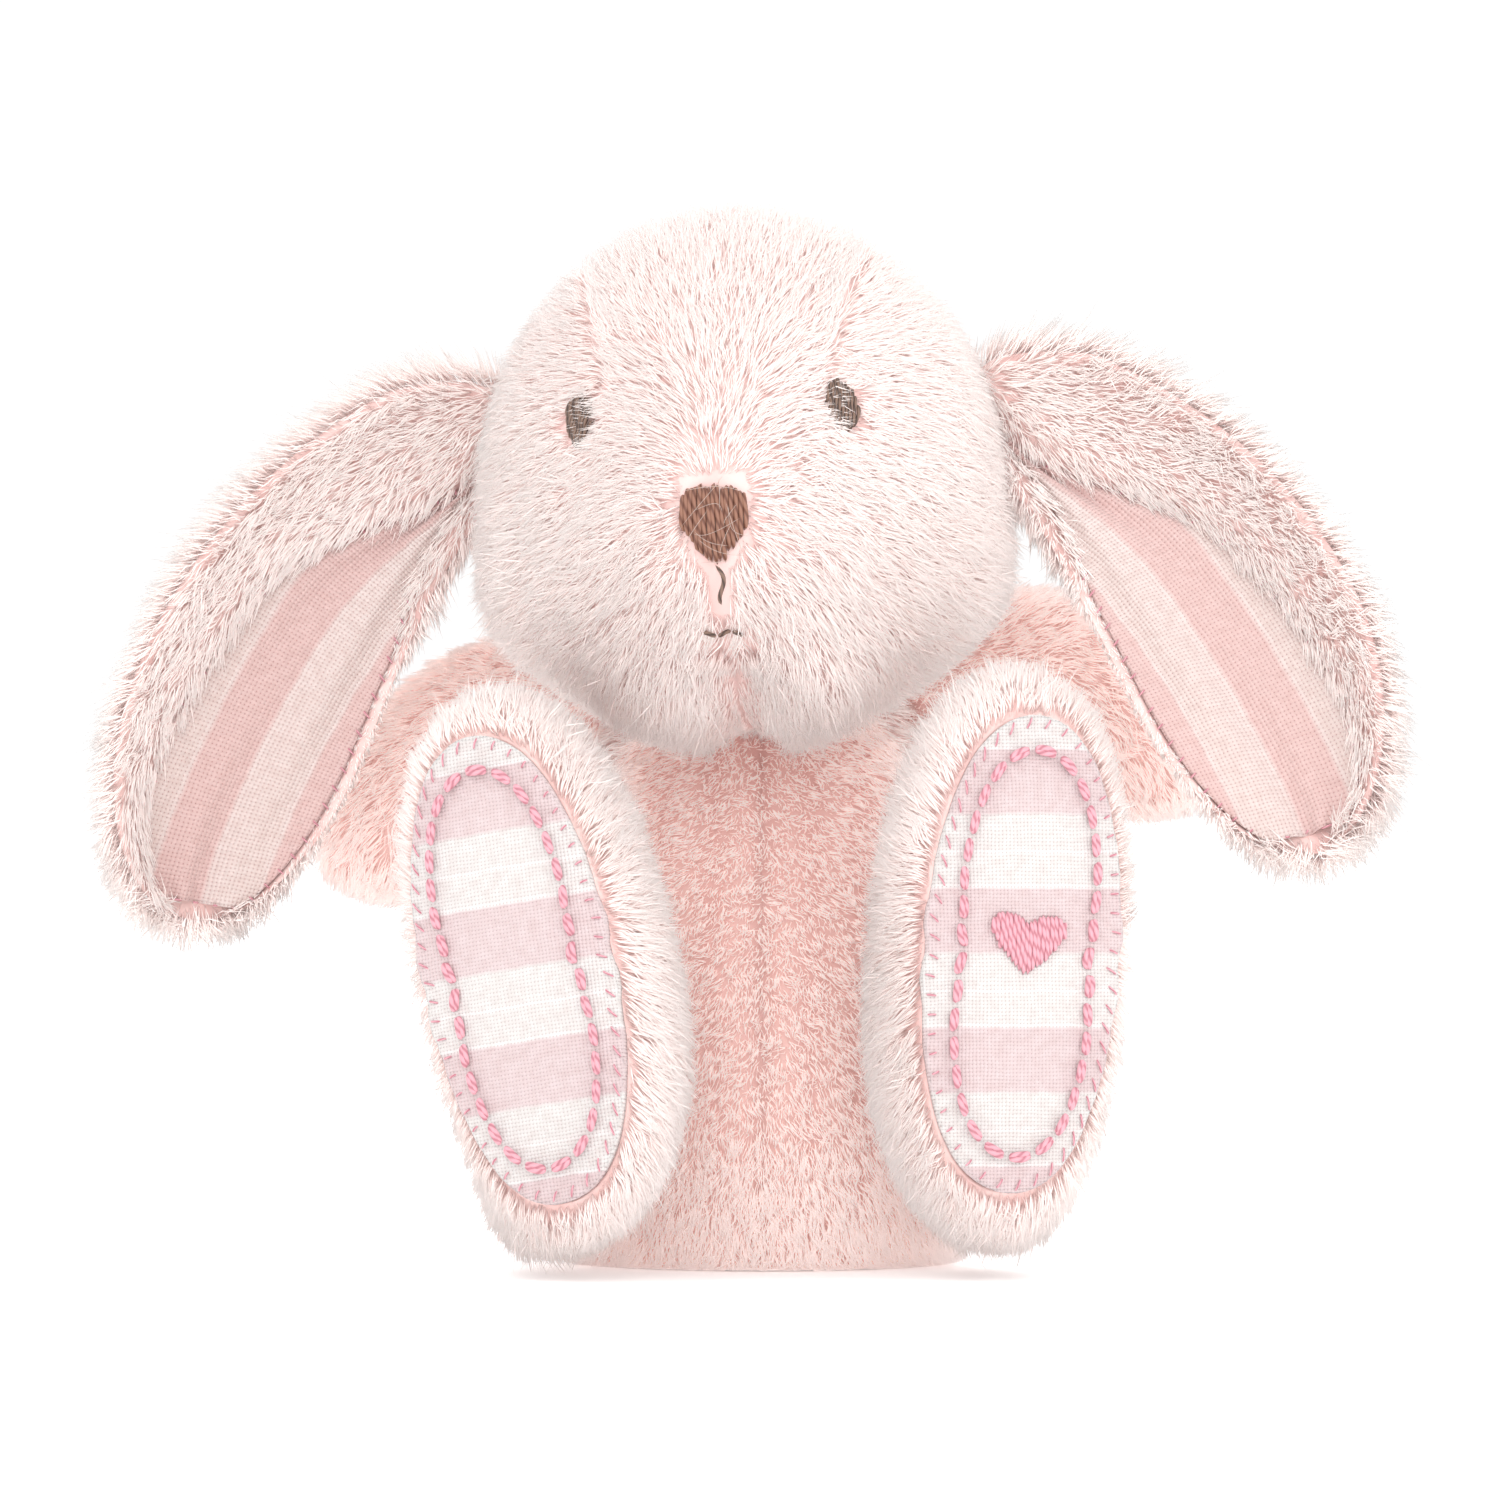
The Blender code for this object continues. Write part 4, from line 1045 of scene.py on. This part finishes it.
def woven_material(name, stripe_axis, stripes, period, pitch, shaded_hole_colour):
    """Plain-weave cotton: matt, with threads pitch apart, small holes where they cross that are painted
    darker as painted shade, and slubs that make the white uneven.

    Each thread's bulge is |sin(pi * place / pitch)| across it. The height is the warp's and the
    weft's bulge added together, and a hole is where the larger of the two is near 0. Stripes run
    along or across the cloth, period apart. The places are first bent a little by noise, so that
    the threads wander."""
    material, tree, shader = new_material(name, Roughness=0.85, Sheen_Weight=0.3, Sheen_Roughness=0.6)
    own = add_node(tree, "ShaderNodeUVMap", {}, uv_map="cloth")
    plan = own.outputs["UV"]
    bent = add_node(tree, "ShaderNodeTexNoise", {"Vector": plan, "Scale": 260.0, "Detail": 2.0})
    off = add_node(
        tree,
        "ShaderNodeVectorMath",
        {0: bent.outputs["Color"], 1: (0.5, 0.5, 0.5)},
        operation="SUBTRACT",
    )
    off = add_node(
        tree, "ShaderNodeVectorMath", {0: off.outputs[0], "Scale": pitch * 1.1}, operation="SCALE"
    )
    place = add_node(tree, "ShaderNodeVectorMath", {0: plan, 1: off.outputs[0]}, operation="ADD")
    apart = add_node(tree, "ShaderNodeSeparateXYZ", {"Vector": place.outputs[0]})
    bulges = []
    for axis in ("X", "Y"):
        value = apart.outputs[axis]
        for operation, factor in (("MULTIPLY", math.pi / pitch), ("SINE", 0.0), ("ABSOLUTE", 0.0)):
            made = add_node(tree, "ShaderNodeMath", {0: value, 1: factor}, operation=operation)
            value = made.outputs[0]
        bulges.append(value)
    height, larger = (
        add_node(tree, "ShaderNodeMath", dict(enumerate(bulges)), operation=operation).outputs[0]
        for operation in ("ADD", "MAXIMUM")
    )
    band = add_node(
        tree, "ShaderNodeMath", {0: apart.outputs[stripe_axis], 1: 1 / period}, operation="MULTIPLY"
    )
    band = add_node(tree, "ShaderNodeMath", {0: band.outputs[0]}, operation="FRACT")
    slub = add_node(tree, "ShaderNodeTexNoise", {"Vector": plan, "Scale": 900.0, "Detail": 3.0})
    colour = ramp(tree, band.outputs[0], stripes)
    # painted shade: the holes between the threads are darkened towards the last colour given
    hole = ramp(tree, larger, [(0.0, shaded_hole_colour), (0.62, "#FFFFFF")])
    mottled = ramp(tree, slub.outputs["Fac"], [(0.3, "#F7F2F1"), (0.65, "#FFFFFF")])
    for darker in (hole, mottled):
        product = add_node(
            tree,
            "ShaderNodeMix",
            {"Factor": 1.0, "A": colour, "B": darker},
            data_type="RGBA",
            blend_type="MULTIPLY",
        )
        colour = product.outputs["Result"]
    tree.links.new(colour, shader.inputs["Base Color"])
    bump = add_node(
        tree, "ShaderNodeBump", {"Height": height, "Strength": 0.7, "Distance": 0.12 * MM}
    )
    tree.links.new(bump.outputs["Normal"], shader.inputs["Normal"])
    return material


EAR_STRIPES = [
    (0.0, "#D7B8B4"),
    (0.44, "#D7B8B4"),
    (0.48, "#DDCDC9"),
    (0.53, "#D9C7C2"),
    (0.95, "#DDCDC9"),
    (0.99, "#D7B8B4"),
]
# The gauze's last colour is painted shade in the holes between its threads.
GAUZE = woven_material("striped_cotton_gauze", "X", EAR_STRIPES, 11.0 * MM, 0.43 * MM, "#C99A96")
# The pink thread's first colour is painted shade in the grooves between its plies.
PINK_THREAD = thread_material("pink_stranded_thread", "#B3707C", "#DC9FAA", 2.4 * MM)


def interpolated(at, run, field):
    """A row of vectors, read at places along the run."""
    return np.stack([np.interp(at, run, field[:, axis]) for axis in range(3)], axis=-1)


def whip_stitches(name, body, edge, inwards, up, spacing, length, radius):
    """Short stitches over an edge: each starts inside it and crosses it at a slant, as an arch of
    half a cosine wave."""
    along = unit(np.gradient(edge, axis=0))
    run = arc_length(edge[None])[0]
    at = np.arange(spacing / 2, run[-1], spacing)
    middle, inward, over, onward = (interpolated(at, run, field) for field in (edge, inwards, up, along))
    s = np.linspace(-0.5, 0.5, THREAD_STATIONS)[None, :, None]
    line = middle[:, None] + length * s * (unit(inward)[:, None] + WHIP_SLANT * onward[:, None])
    line += unit(over)[:, None] * radius * 2.2 * np.cos(s * math.pi)
    add_threads(name, body, line, unit(over), radius, PINK_THREAD, None, 6)


AHEAD = np.array([0, -1.0, 0])


for side, sign in SIDES.items():
    body, node = f"ear_{side}", f"ear_{side}_plush"
    leaf_points, leaf_triangles = ear_leaf(side)
    leaf = add_mesh(f"{node}_backing", leaf_points, leaf_triangles)
    leaf.data.materials.append(BACKING_MATERIALS["plush"])
    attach(leaf, body)
    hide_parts(node)
    surface = (leaf_points, leaf_triangles)
    add_pile(f"{node}_pile", body, "plush", surface, EAR_TUFTS, ear_styles(side), 200 + int(sign))
    grid, uv = ear_lining(side)
    lining = add_cloth(f"ear_{side}_lining_gauze", grid, uv, AHEAD)
    lining.data.materials.append(GAUZE)
    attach(lining, body)
    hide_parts(f"ear_{side}_lining")
    edge = np.vstack([grid[4:, -1], grid[::-1, 0][:-30]])
    inward = np.vstack([grid[4:, -2] - grid[4:, -1], (grid[::-1, 1] - grid[::-1, 0])[:-30]])
    up = np.tile(AHEAD, (len(edge), 1))
    name = f"ear_{side}_rim_stitches"
    whip_stitches(name, body, edge, inward, up, RIM_SPACING, 0.9 * MM, 0.10 * MM)

# ---------------------------------------------------------------------------------------------
# Arms: a front and a back panel of the short deep pink plush each, softly stuffed and sewn on
# high at the shoulder, so that they hang out behind the ears.

ARM_LENGTH = 35.0 * MM
ARM_DIAMETER = 15.0 * MM
PAW_GROWTH = 0.12
ARM_TURNS = {"left": (38.0, -75.0, 1.0), "right": (-5.0, -70.0, 1.0)}
ARM_TUFTS = 7500


def arm_radius(share, opened):
    """Nearly even along the arm, a little fuller at the paw, and rounded off at both ends."""
    return ARM_DIAMETER / 2 * (1 + PAW_GROWTH * share) * opened**0.62


for side, sign in SIDES.items():
    start = math.radians(ARM_TURNS[side][0])
    along = np.array([sign * math.cos(start), 0, math.sin(start)])
    arm_at = JOINT_AT[f"arm_{side}_swing"] - along * ARM_DIAMETER / 2
    directions, triangles = ball_grid(56, 44)
    points = swept(directions, ARM_LENGTH, ARM_TURNS[side], arm_radius, arm_radius)
    points = points * [sign, 1, 1] + arm_at
    triangles = facing_out(points, triangles)
    shares = np.linspace(0, 1, 80)
    line_x, line_z, angles = curve_along(shares, ARM_LENGTH, ARM_TURNS[side])
    arm_line = np.stack([sign * line_x, 0 * line_x, line_z], axis=1) + arm_at
    arm_heading = np.stack([sign * np.cos(angles), 0 * angles, np.sin(angles)], axis=1)

    def arm_pile(roots, normals, line=arm_line, heading=arm_heading):
        """Brushed along the arm to the paw."""
        at = nearest(roots, line)
        paw = shares[at]
        return {
            "comb": heading[at] + 0.4 * normals * paw[:, None],
            "length": (2.8 + 0.8 * paw) * MM,
            "lean": 0.95,
            "tone": 0.06 + 0.25 * paw,
            "scatter": 0.4,
        }

    for face, facing in {"front": -1.0, "back": 1.0}.items():
        panel = cut_open(points, triangles, [(arm_at, (0, -facing, 0))])
        node = f"arm_{side}_{face}"
        body, seed = f"arm_{side}", 300 + int(sign + 2 * facing)
        add_backing(f"{node}_backing", body, "belly_plush", panel, node)
        add_pile(f"{node}_pile", body, "belly_plush", panel, ARM_TUFTS, arm_pile, seed)

# ---------------------------------------------------------------------------------------------
# Legs: an inner and an outer panel of long pale plush each, round a stuffed foot that stands on
# its heel, with an oval cotton sole whip-stitched into the front opening. A ring of back stitches
# in stranded pink thread runs round each sole, and the left one has a small satin-stitched heart.

FOOT_LENGTH = 54.0 * MM
FOOT_WIDTH = 22.0 * MM
FOOT_THICKNESS = 17.0 * MM
SOLE_SHARE = 0.84
FOOT_DEPTH_RADIUS = FOOT_THICKNESS / (1 + math.sqrt(1 - SOLE_SHARE**2))
SOLE_AHEAD = FOOT_THICKNESS - FOOT_DEPTH_RADIUS
FOOT_FROM_HIP = {"left": (1.0, -21.0, 22.3), "right": (-1.0, -21.0, 20.8)}
FOOT_YAW = {"left": 16.0, "right": 20.0}
FOOT_LEAN = {"left": 5.5, "right": 14.5}
FOOT_TILT = -4.0
SHANK_DIRECTION = unit((0.0, 0.62, -0.78))
SHANK_REACH = 0.74
HIP_BALL = 6.0 * MM
LEG_TUFTS = 16700
SOLE_DOME = 1.3 * MM
SOLE_HEM = 0.8 * MM
HEM_TUCK = 1.6 * MM
PUCKERS = 36
RIM_POINTS = 144
BACK_STITCHES = 33
STITCH_INSET = 2.7 * MM
WHIP_SPACING = 1.9 * MM
HEART_SIZE = 3.8 * MM


def foot_form(directions, shank):
    """A rounded foot, fuller than an ellipsoid, its heel's back pushed out to meet the hip."""
    radii = np.array([FOOT_WIDTH, 2 * FOOT_DEPTH_RADIUS, FOOT_LENGTH]) / 2
    points = np.abs(directions) ** 0.9 * np.sign(directions) * radii
    away = ((directions - SHANK_DIRECTION) ** 2).sum(axis=1) / SHANK_REACH**2
    return points + np.exp(-(away**1.6))[:, None] * shank


SOLE_BANDS = [
    (0.0, "#D9D5D3"),
    (0.03, "#D4C2C3"),
    (0.47, "#D3C0C1"),
    (0.49, "#E3E0DF"),
    (0.52, "#D9D5D3"),
    (0.72, "#DAD6D4"),
    (0.74, "#E3E0DF"),
    (0.77, "#D9D5D3"),
    (0.98, "#DAD7D5"),
]
# The sole cloth's last colour is painted shade in the holes between its threads.
SOLE_CLOTH = woven_material("banded_sole_cotton", "Y", SOLE_BANDS, 13.6 * MM, 0.37 * MM, "#CDB6B4")


def sole_rim(node):
    """The CAD sole's front outline: its centre, its outward normal, its long and short axes, and the
    rim as points at even angles. The outline's radius by angle is smoothed by keeping only the
    slowest waves of its Fourier series."""
    corners = np.array([vert.co for vert in frame["nodes"][node].data.vertices])
    middle = corners.mean(axis=0)
    _, _, axes = np.linalg.svd(np.unique(np.round(corners, 6), axis=0) - middle, full_matrices=False)
    long, short, normal = axes
    long = long * np.sign(long[2])
    normal = normal * -np.sign(normal[1])
    short = np.cross(long, normal)
    front = corners[(corners - middle) @ normal > 0]
    off = front - middle
    angle = np.arctan2(off @ long, off @ short)
    order = np.argsort(angle)
    angle, off = angle[order], off[order]
    turn = np.linspace(-math.pi, math.pi, RIM_POINTS, endpoint=False)
    reach = np.interp(turn, angle, np.hypot(off @ long, off @ short), period=2 * math.pi)
    waves = np.fft.rfft(reach)
    waves[14:] = 0
    reach = np.fft.irfft(waves, RIM_POINTS)
    middle = middle + normal * (off @ normal).mean()
    rim = middle + reach[:, None] * (np.cos(turn)[:, None] * short + np.sin(turn)[:, None] * long)
    return middle, normal, long, short, rim


def add_sole_cotton(side, middle, normal, long, short, rim):
    """The sole cloth, domed by the stuffing: rings between its middle and a hem that is tucked in.

    A ring's height is dome * (1 - reach^2.6), with a slight rise and puckers towards the rim."""
    body = f"leg_{side}"
    reach = np.linspace(0.004, 1.0, 34)[:, None, None]
    turn = np.arange(RIM_POINTS) * 2 * math.pi / RIM_POINTS
    puckers = 0.12 * MM * np.sin(turn * PUCKERS)[None, :, None] * reach**8
    dome = SOLE_DOME * (1 - reach**2.6) + 0.15 * MM * reach**6
    hem = unit(rim - middle) * SOLE_HEM
    grid = middle + (rim + hem - middle)[None] * reach + normal * (dome + puckers)
    tucked_in = grid[-1:] - normal * HEM_TUCK - hem * 0.3
    grid = np.concatenate([grid, tucked_in])
    grid = np.concatenate([grid, grid[:, :1]], axis=1)
    lean = math.radians(5.0) * SIDES[side]
    across, up = (grid - middle) @ short, (grid - middle) @ long
    cos, sin = math.cos(lean), math.sin(lean)
    uv = np.stack([across * cos + up * sin, up * cos - across * sin], axis=-1)
    cloth = add_cloth(f"sole_{side}_cotton", grid, uv, normal)
    bm = bmesh.new()
    bm.from_mesh(cloth.data)
    bmesh.ops.remove_doubles(bm, verts=bm.verts, dist=1e-6)
    hub = [edge for edge in bm.edges if edge.is_boundary and edge.calc_length() < 0.1 * MM]
    bmesh.ops.holes_fill(bm, edges=hub, sides=0)
    bm.to_mesh(cloth.data)
    bm.free()
    cloth.data.shade_smooth()
    cloth.data.materials.append(SOLE_CLOTH)
    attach(cloth, body)
    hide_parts(f"sole_{side}")


def add_sole_stitching(side, middle, normal, rim):
    """Back stitches of two crossed plies in a ring on the sole, and whip stitches over its hem."""
    body = f"leg_{side}"
    ring = rim - unit(rim - middle) * STITCH_INSET + normal * 1.05 * MM
    ring = np.vstack([ring, ring[:1]])
    run = arc_length(ring[None])[0]
    s = np.linspace(0.09, 0.91, THREAD_STATIONS)
    at = (np.arange(BACK_STITCHES)[:, None] + s) * run[-1] / BACK_STITCHES
    line = interpolated(at, run, ring)
    outwards = unit(line - middle)
    arch = np.sqrt(np.clip(1 - (2 * s - 1) ** 2, 0, 1))[None, :, None]
    plies = []
    for ply in (-1.0, 1.0):
        twist = ply * 0.24 * MM * np.sin(s * math.pi)[None, :, None]
        plies.append(line + outwards * twist + normal * 0.35 * MM * arch - normal * 0.15 * MM)
    line = np.concatenate(plies)
    up = np.tile(normal, (len(line), 1))
    node = f"sole_stitching_{side}"
    add_threads(f"{node}_thread", body, line, up, 0.31 * MM, PINK_THREAD, node)

    closed = np.vstack([rim, rim[:1]]) + normal * 0.3 * MM
    up = np.tile(normal, (len(closed), 1))
    name = f"sole_{side}_rim_stitches"
    whip_stitches(name, body, closed, middle - closed, up, WHIP_SPACING, 1.1 * MM, 0.11 * MM)


def add_heart(middle, normal, long, short):
    """A satin-stitched heart: x = sin^3, y = (13 cos t - 5 cos 2t - 2 cos 3t) / 16."""
    turn = np.linspace(0, 2 * math.pi, 120, endpoint=False)
    height = (13 * np.cos(turn) - 5 * np.cos(2 * turn) - 2 * np.cos(3 * turn)) / 16
    outline = np.stack([np.sin(turn) ** 3, height], axis=1) * HEART_SIZE
    across, up = satin(outline, 0.42 * MM, 0.06 * MM, np.random.default_rng(21))
    lift = SOLE_DOME + 0.30 * MM * rounded_off(4)
    base = middle + long * 1.5 * MM + normal * lift[None, :, None]
    line = base + across[..., None] * short + up[..., None] * long
    over = np.tile(normal, (len(line), 1))
    name, slot, node = "sole_motif_heart", "pink_thread", "sole_motif"
    add_threads(name, "leg_left", line, over, 0.28 * MM, PINK_THREAD, node)


def leg_styles(middle, normal):
    """How the pile of one leg is brushed and cut, from its sole's middle and normal."""

    def leg_pile(roots, normals):
        """Brushed back from the sole's rim and out from the foot, and down round the heel."""
        off = roots - middle
        behind = -(off @ normal)
        radial = off - (off @ normal)[:, None] * normal
        by_rim = np.exp(-((behind / (2.2 * MM)) ** 2))
        comb = unit(radial) * 0.9 - normal * (0.55 - 1.1 * by_rim)[:, None] + np.array([0, 0, -0.35])
        return {
            "comb": comb,
            "length": (4.8 - 1.8 * by_rim) * MM,
            "lean": 0.85 - 0.3 * by_rim,
            "tone": np.full(len(roots), 0.64),
            "scatter": 0.4,
        }

    return leg_pile


for side, sign in SIDES.items():
    hinge = JOINT_AT[f"leg_{side}_swing"]
    foot_at = hinge + np.array(FOOT_FROM_HIP[side]) * [sign, 1, 1] * MM
    foot_turn = turned(sign * FOOT_YAW[side], 2) @ turned(sign * FOOT_LEAN[side], 1) @ turned(FOOT_TILT, 0)
    heel = foot_form(SHANK_DIRECTION[None], np.zeros(3))[0]
    shank = (hinge + [0, HIP_BALL, 0] - foot_at) @ foot_turn - heel
    directions, triangles = ball_grid(72, 56)
    points = put(foot_form(directions, shank), foot_turn, foot_at)
    front = (put(np.array([0, -SOLE_AHEAD, 0]), foot_turn, foot_at), foot_turn @ [0, -1.0, 0])
    middle, normal, long, short, rim = sole_rim(f"sole_{side}")
    add_sole_cotton(side, middle, normal, long, short, rim)
    add_sole_stitching(side, middle, normal, rim)
    style = leg_styles(middle, normal)
    for face, facing in {"outer": 1.0, "inner": -1.0}.items():
        cuts = [(foot_at, -facing * sign * foot_turn[:, 0]), front]
        panel = cut_open(points, triangles, cuts)
        node = f"leg_{side}_{face}"
        add_backing(f"{node}_backing", f"leg_{side}", "plush", panel, node)
        seed = 400 + int(sign + 2 * facing)
        add_pile(f"{node}_pile", f"leg_{side}", "plush", panel, LEG_TUFTS, style, seed)
    if side == "left":
        add_heart(middle, normal, long, short)

# ---------------------------------------------------------------------------------------------
# Tail: a small gathered ball of the long plush with a pinch of filling, sewn to the lower back.

TAIL_DIAMETER = 13.0 * MM
TAIL_TUFTS = 4500
low, high = (np.array(corner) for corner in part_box("tail_cover"))
TAIL_AT = np.array([(low[0] + high[0]) / 2, high[1] - TAIL_DIAMETER / 2, (low[2] + high[2]) / 2])
tail_root = JOINT_AT["tail_wag"]
directions, triangles = ball_grid(40, 30)
tail_out = unit(TAIL_AT - tail_root)
panel = cut_open(directions * TAIL_DIAMETER / 2 + TAIL_AT, triangles, [(tail_root, -tail_out)])


def tail_pile(roots, normals):
    """Long, standing off the ball and brushed down and back."""
    return {
        "comb": normals + [0, 0.3, -0.7],
        "length": np.full(len(roots), 5.0 * MM),
        "lean": 0.6,
        "tone": np.full(len(roots), 0.8),
    }


add_backing("tail_cover_backing", "tail", "plush", panel, "tail_cover")
add_pile("tail_cover_pile", "tail", "plush", panel, TAIL_TUFTS, tail_pile, 500)

# ---------------------------------------------------------------------------------------------
# Inside and underneath: the fillings of loose white fibre, the pellet pouch, the base panel and
# the ladder stitches round the neck keep their CAD shapes.


def fibre_material(name, low_colour, high_colour, scale, depth):
    """Matted or woven fibre: matt and uneven, with the grain of its clumps or threads, 1 / scale
    metres across."""
    material, tree, shader = new_material(name, Roughness=0.95, Sheen_Weight=0.3)
    place = add_node(tree, "ShaderNodeTexCoord", {})
    fluff = add_node(
        tree,
        "ShaderNodeTexNoise",
        {"Vector": place.outputs["Object"], "Scale": scale, "Detail": 6.0},
    )
    colour = ramp(tree, fluff.outputs["Fac"], [(0.3, low_colour), (0.7, high_colour)])
    tree.links.new(colour, shader.inputs["Base Color"])
    bump = add_node(
        tree,
        "ShaderNodeBump",
        {"Height": fluff.outputs["Fac"], "Strength": 0.8, "Distance": depth},
    )
    tree.links.new(bump.outputs["Normal"], shader.inputs["Normal"])
    return material


INSIDE = {
    "filling": fibre_material("polyester_fibre_filling", "#DAD9D4", "#F6F6F3", 600.0, 0.8 * MM),
    "pellets": fibre_material("pellet_pouch_cloth", "#BDB6A6", "#DCD6C8", 400.0, 1.0 * MM),
    "sewing_thread": fibre_material("ladder_stitch_thread", "#D9AFAA", "#F0CFCA", 1500.0, 0.3 * MM),
    "plush": fibre_material("base_panel_plush", "#E9C4BF", "#F8E6E1", 1200.0, 0.5 * MM),
}
for entry in frame["record"]["subparts"]:
    node = frame["nodes"][entry["node"]]
    if not node.hide_render and entry["material_slot"] in INSIDE:
        for slot_of_node in node.material_slots:
            slot_of_node.material = INSIDE[entry["material_slot"]]

# ---------------------------------------------------------------------------------------------
# Studio: a white floor under an even white sky, four softboxes round the rabbit, and the camera.

VIEW_MIDDLE = np.array([-1.2, -8.0, 51.8]) * MM
VIEW_DISTANCE = 1.5
VIEW_HEIGHT = math.radians(0.6)
VIEW_WIDTH = 0.150
SENSOR = 36.0
LIGHT_AIM_HEIGHT = 50.0 * MM

FLOOR_HALF = 3.0
WHITE = (1, 1, 1, 1)
corners = np.array([[-1.0, -1.0, 0.0], [1.0, -1.0, 0.0], [1.0, 1.0, 0.0], [-1.0, 1.0, 0.0]])
floor = add_mesh("studio_floor", corners * FLOOR_HALF, np.array([[0, 1, 2], [0, 2, 3]]))
paint = new_material(
    "white_studio_floor",
    Roughness=0.9,
    Base_Color=linear("#FCFCFC"),
    Emission_Color=WHITE,
    Emission_Strength=0.25,
)[0]
floor.data.materials.append(paint)

world = bpy.data.worlds.new("soft_white_studio")
world.use_nodes = True
sky = world.node_tree
lit = add_node(sky, "ShaderNodeBackground", {"Color": WHITE, "Strength": 1.2})
seen = add_node(sky, "ShaderNodeBackground", {"Color": WHITE, "Strength": 1.05})
ray = add_node(sky, "ShaderNodeLightPath", {})
mixed = add_node(
    sky,
    "ShaderNodeMixShader",
    {0: ray.outputs["Is Camera Ray"], 1: lit.outputs[0], 2: seen.outputs[0]},
)
sky.links.new(mixed.outputs[0], sky.nodes["World Output"].inputs["Surface"])
bpy.context.scene.world = world


def add_softbox(name, place, size, power):
    """A square area light aimed at the rabbit."""
    light = bpy.data.lights.new(name, "AREA")
    light.size = size
    light.energy = power
    lamp = bpy.data.objects.new(name, light)
    lamp.location = place
    aim = bpy.data.objects["body:torso"].location.copy()
    aim.z = LIGHT_AIM_HEIGHT
    lamp.rotation_euler = (aim - lamp.location).to_track_quat("-Z", "Y").to_euler()
    bpy.context.scene.collection.objects.link(lamp)


add_softbox("key_softbox", (-0.35, -0.45, 0.75), 0.5, 1.1)
add_softbox("fill_softbox", (0.6, -0.5, 0.35), 0.5, 1.0)
add_softbox("back_softbox", (0.15, 1.0, 0.6), 0.6, 3.4)
add_softbox("front_softbox", (0.0, -1.1, 0.5), 0.6, 2.6)

camera = bpy.data.cameras.new("studio_camera")
camera.sensor_width = SENSOR
camera.lens = SENSOR * VIEW_DISTANCE / VIEW_WIDTH
camera.clip_start = 0.01
camera.clip_end = 20
eye = bpy.data.objects.new("studio_camera", camera)
back = np.array([0, -math.cos(VIEW_HEIGHT), math.sin(VIEW_HEIGHT)])
eye.location = VIEW_MIDDLE + back * VIEW_DISTANCE
eye.rotation_euler = (math.pi / 2 - VIEW_HEIGHT, 0, 0)
bpy.context.scene.collection.objects.link(eye)
bpy.context.scene.camera = eye
bpy.context.scene.view_settings.view_transform = "Standard"
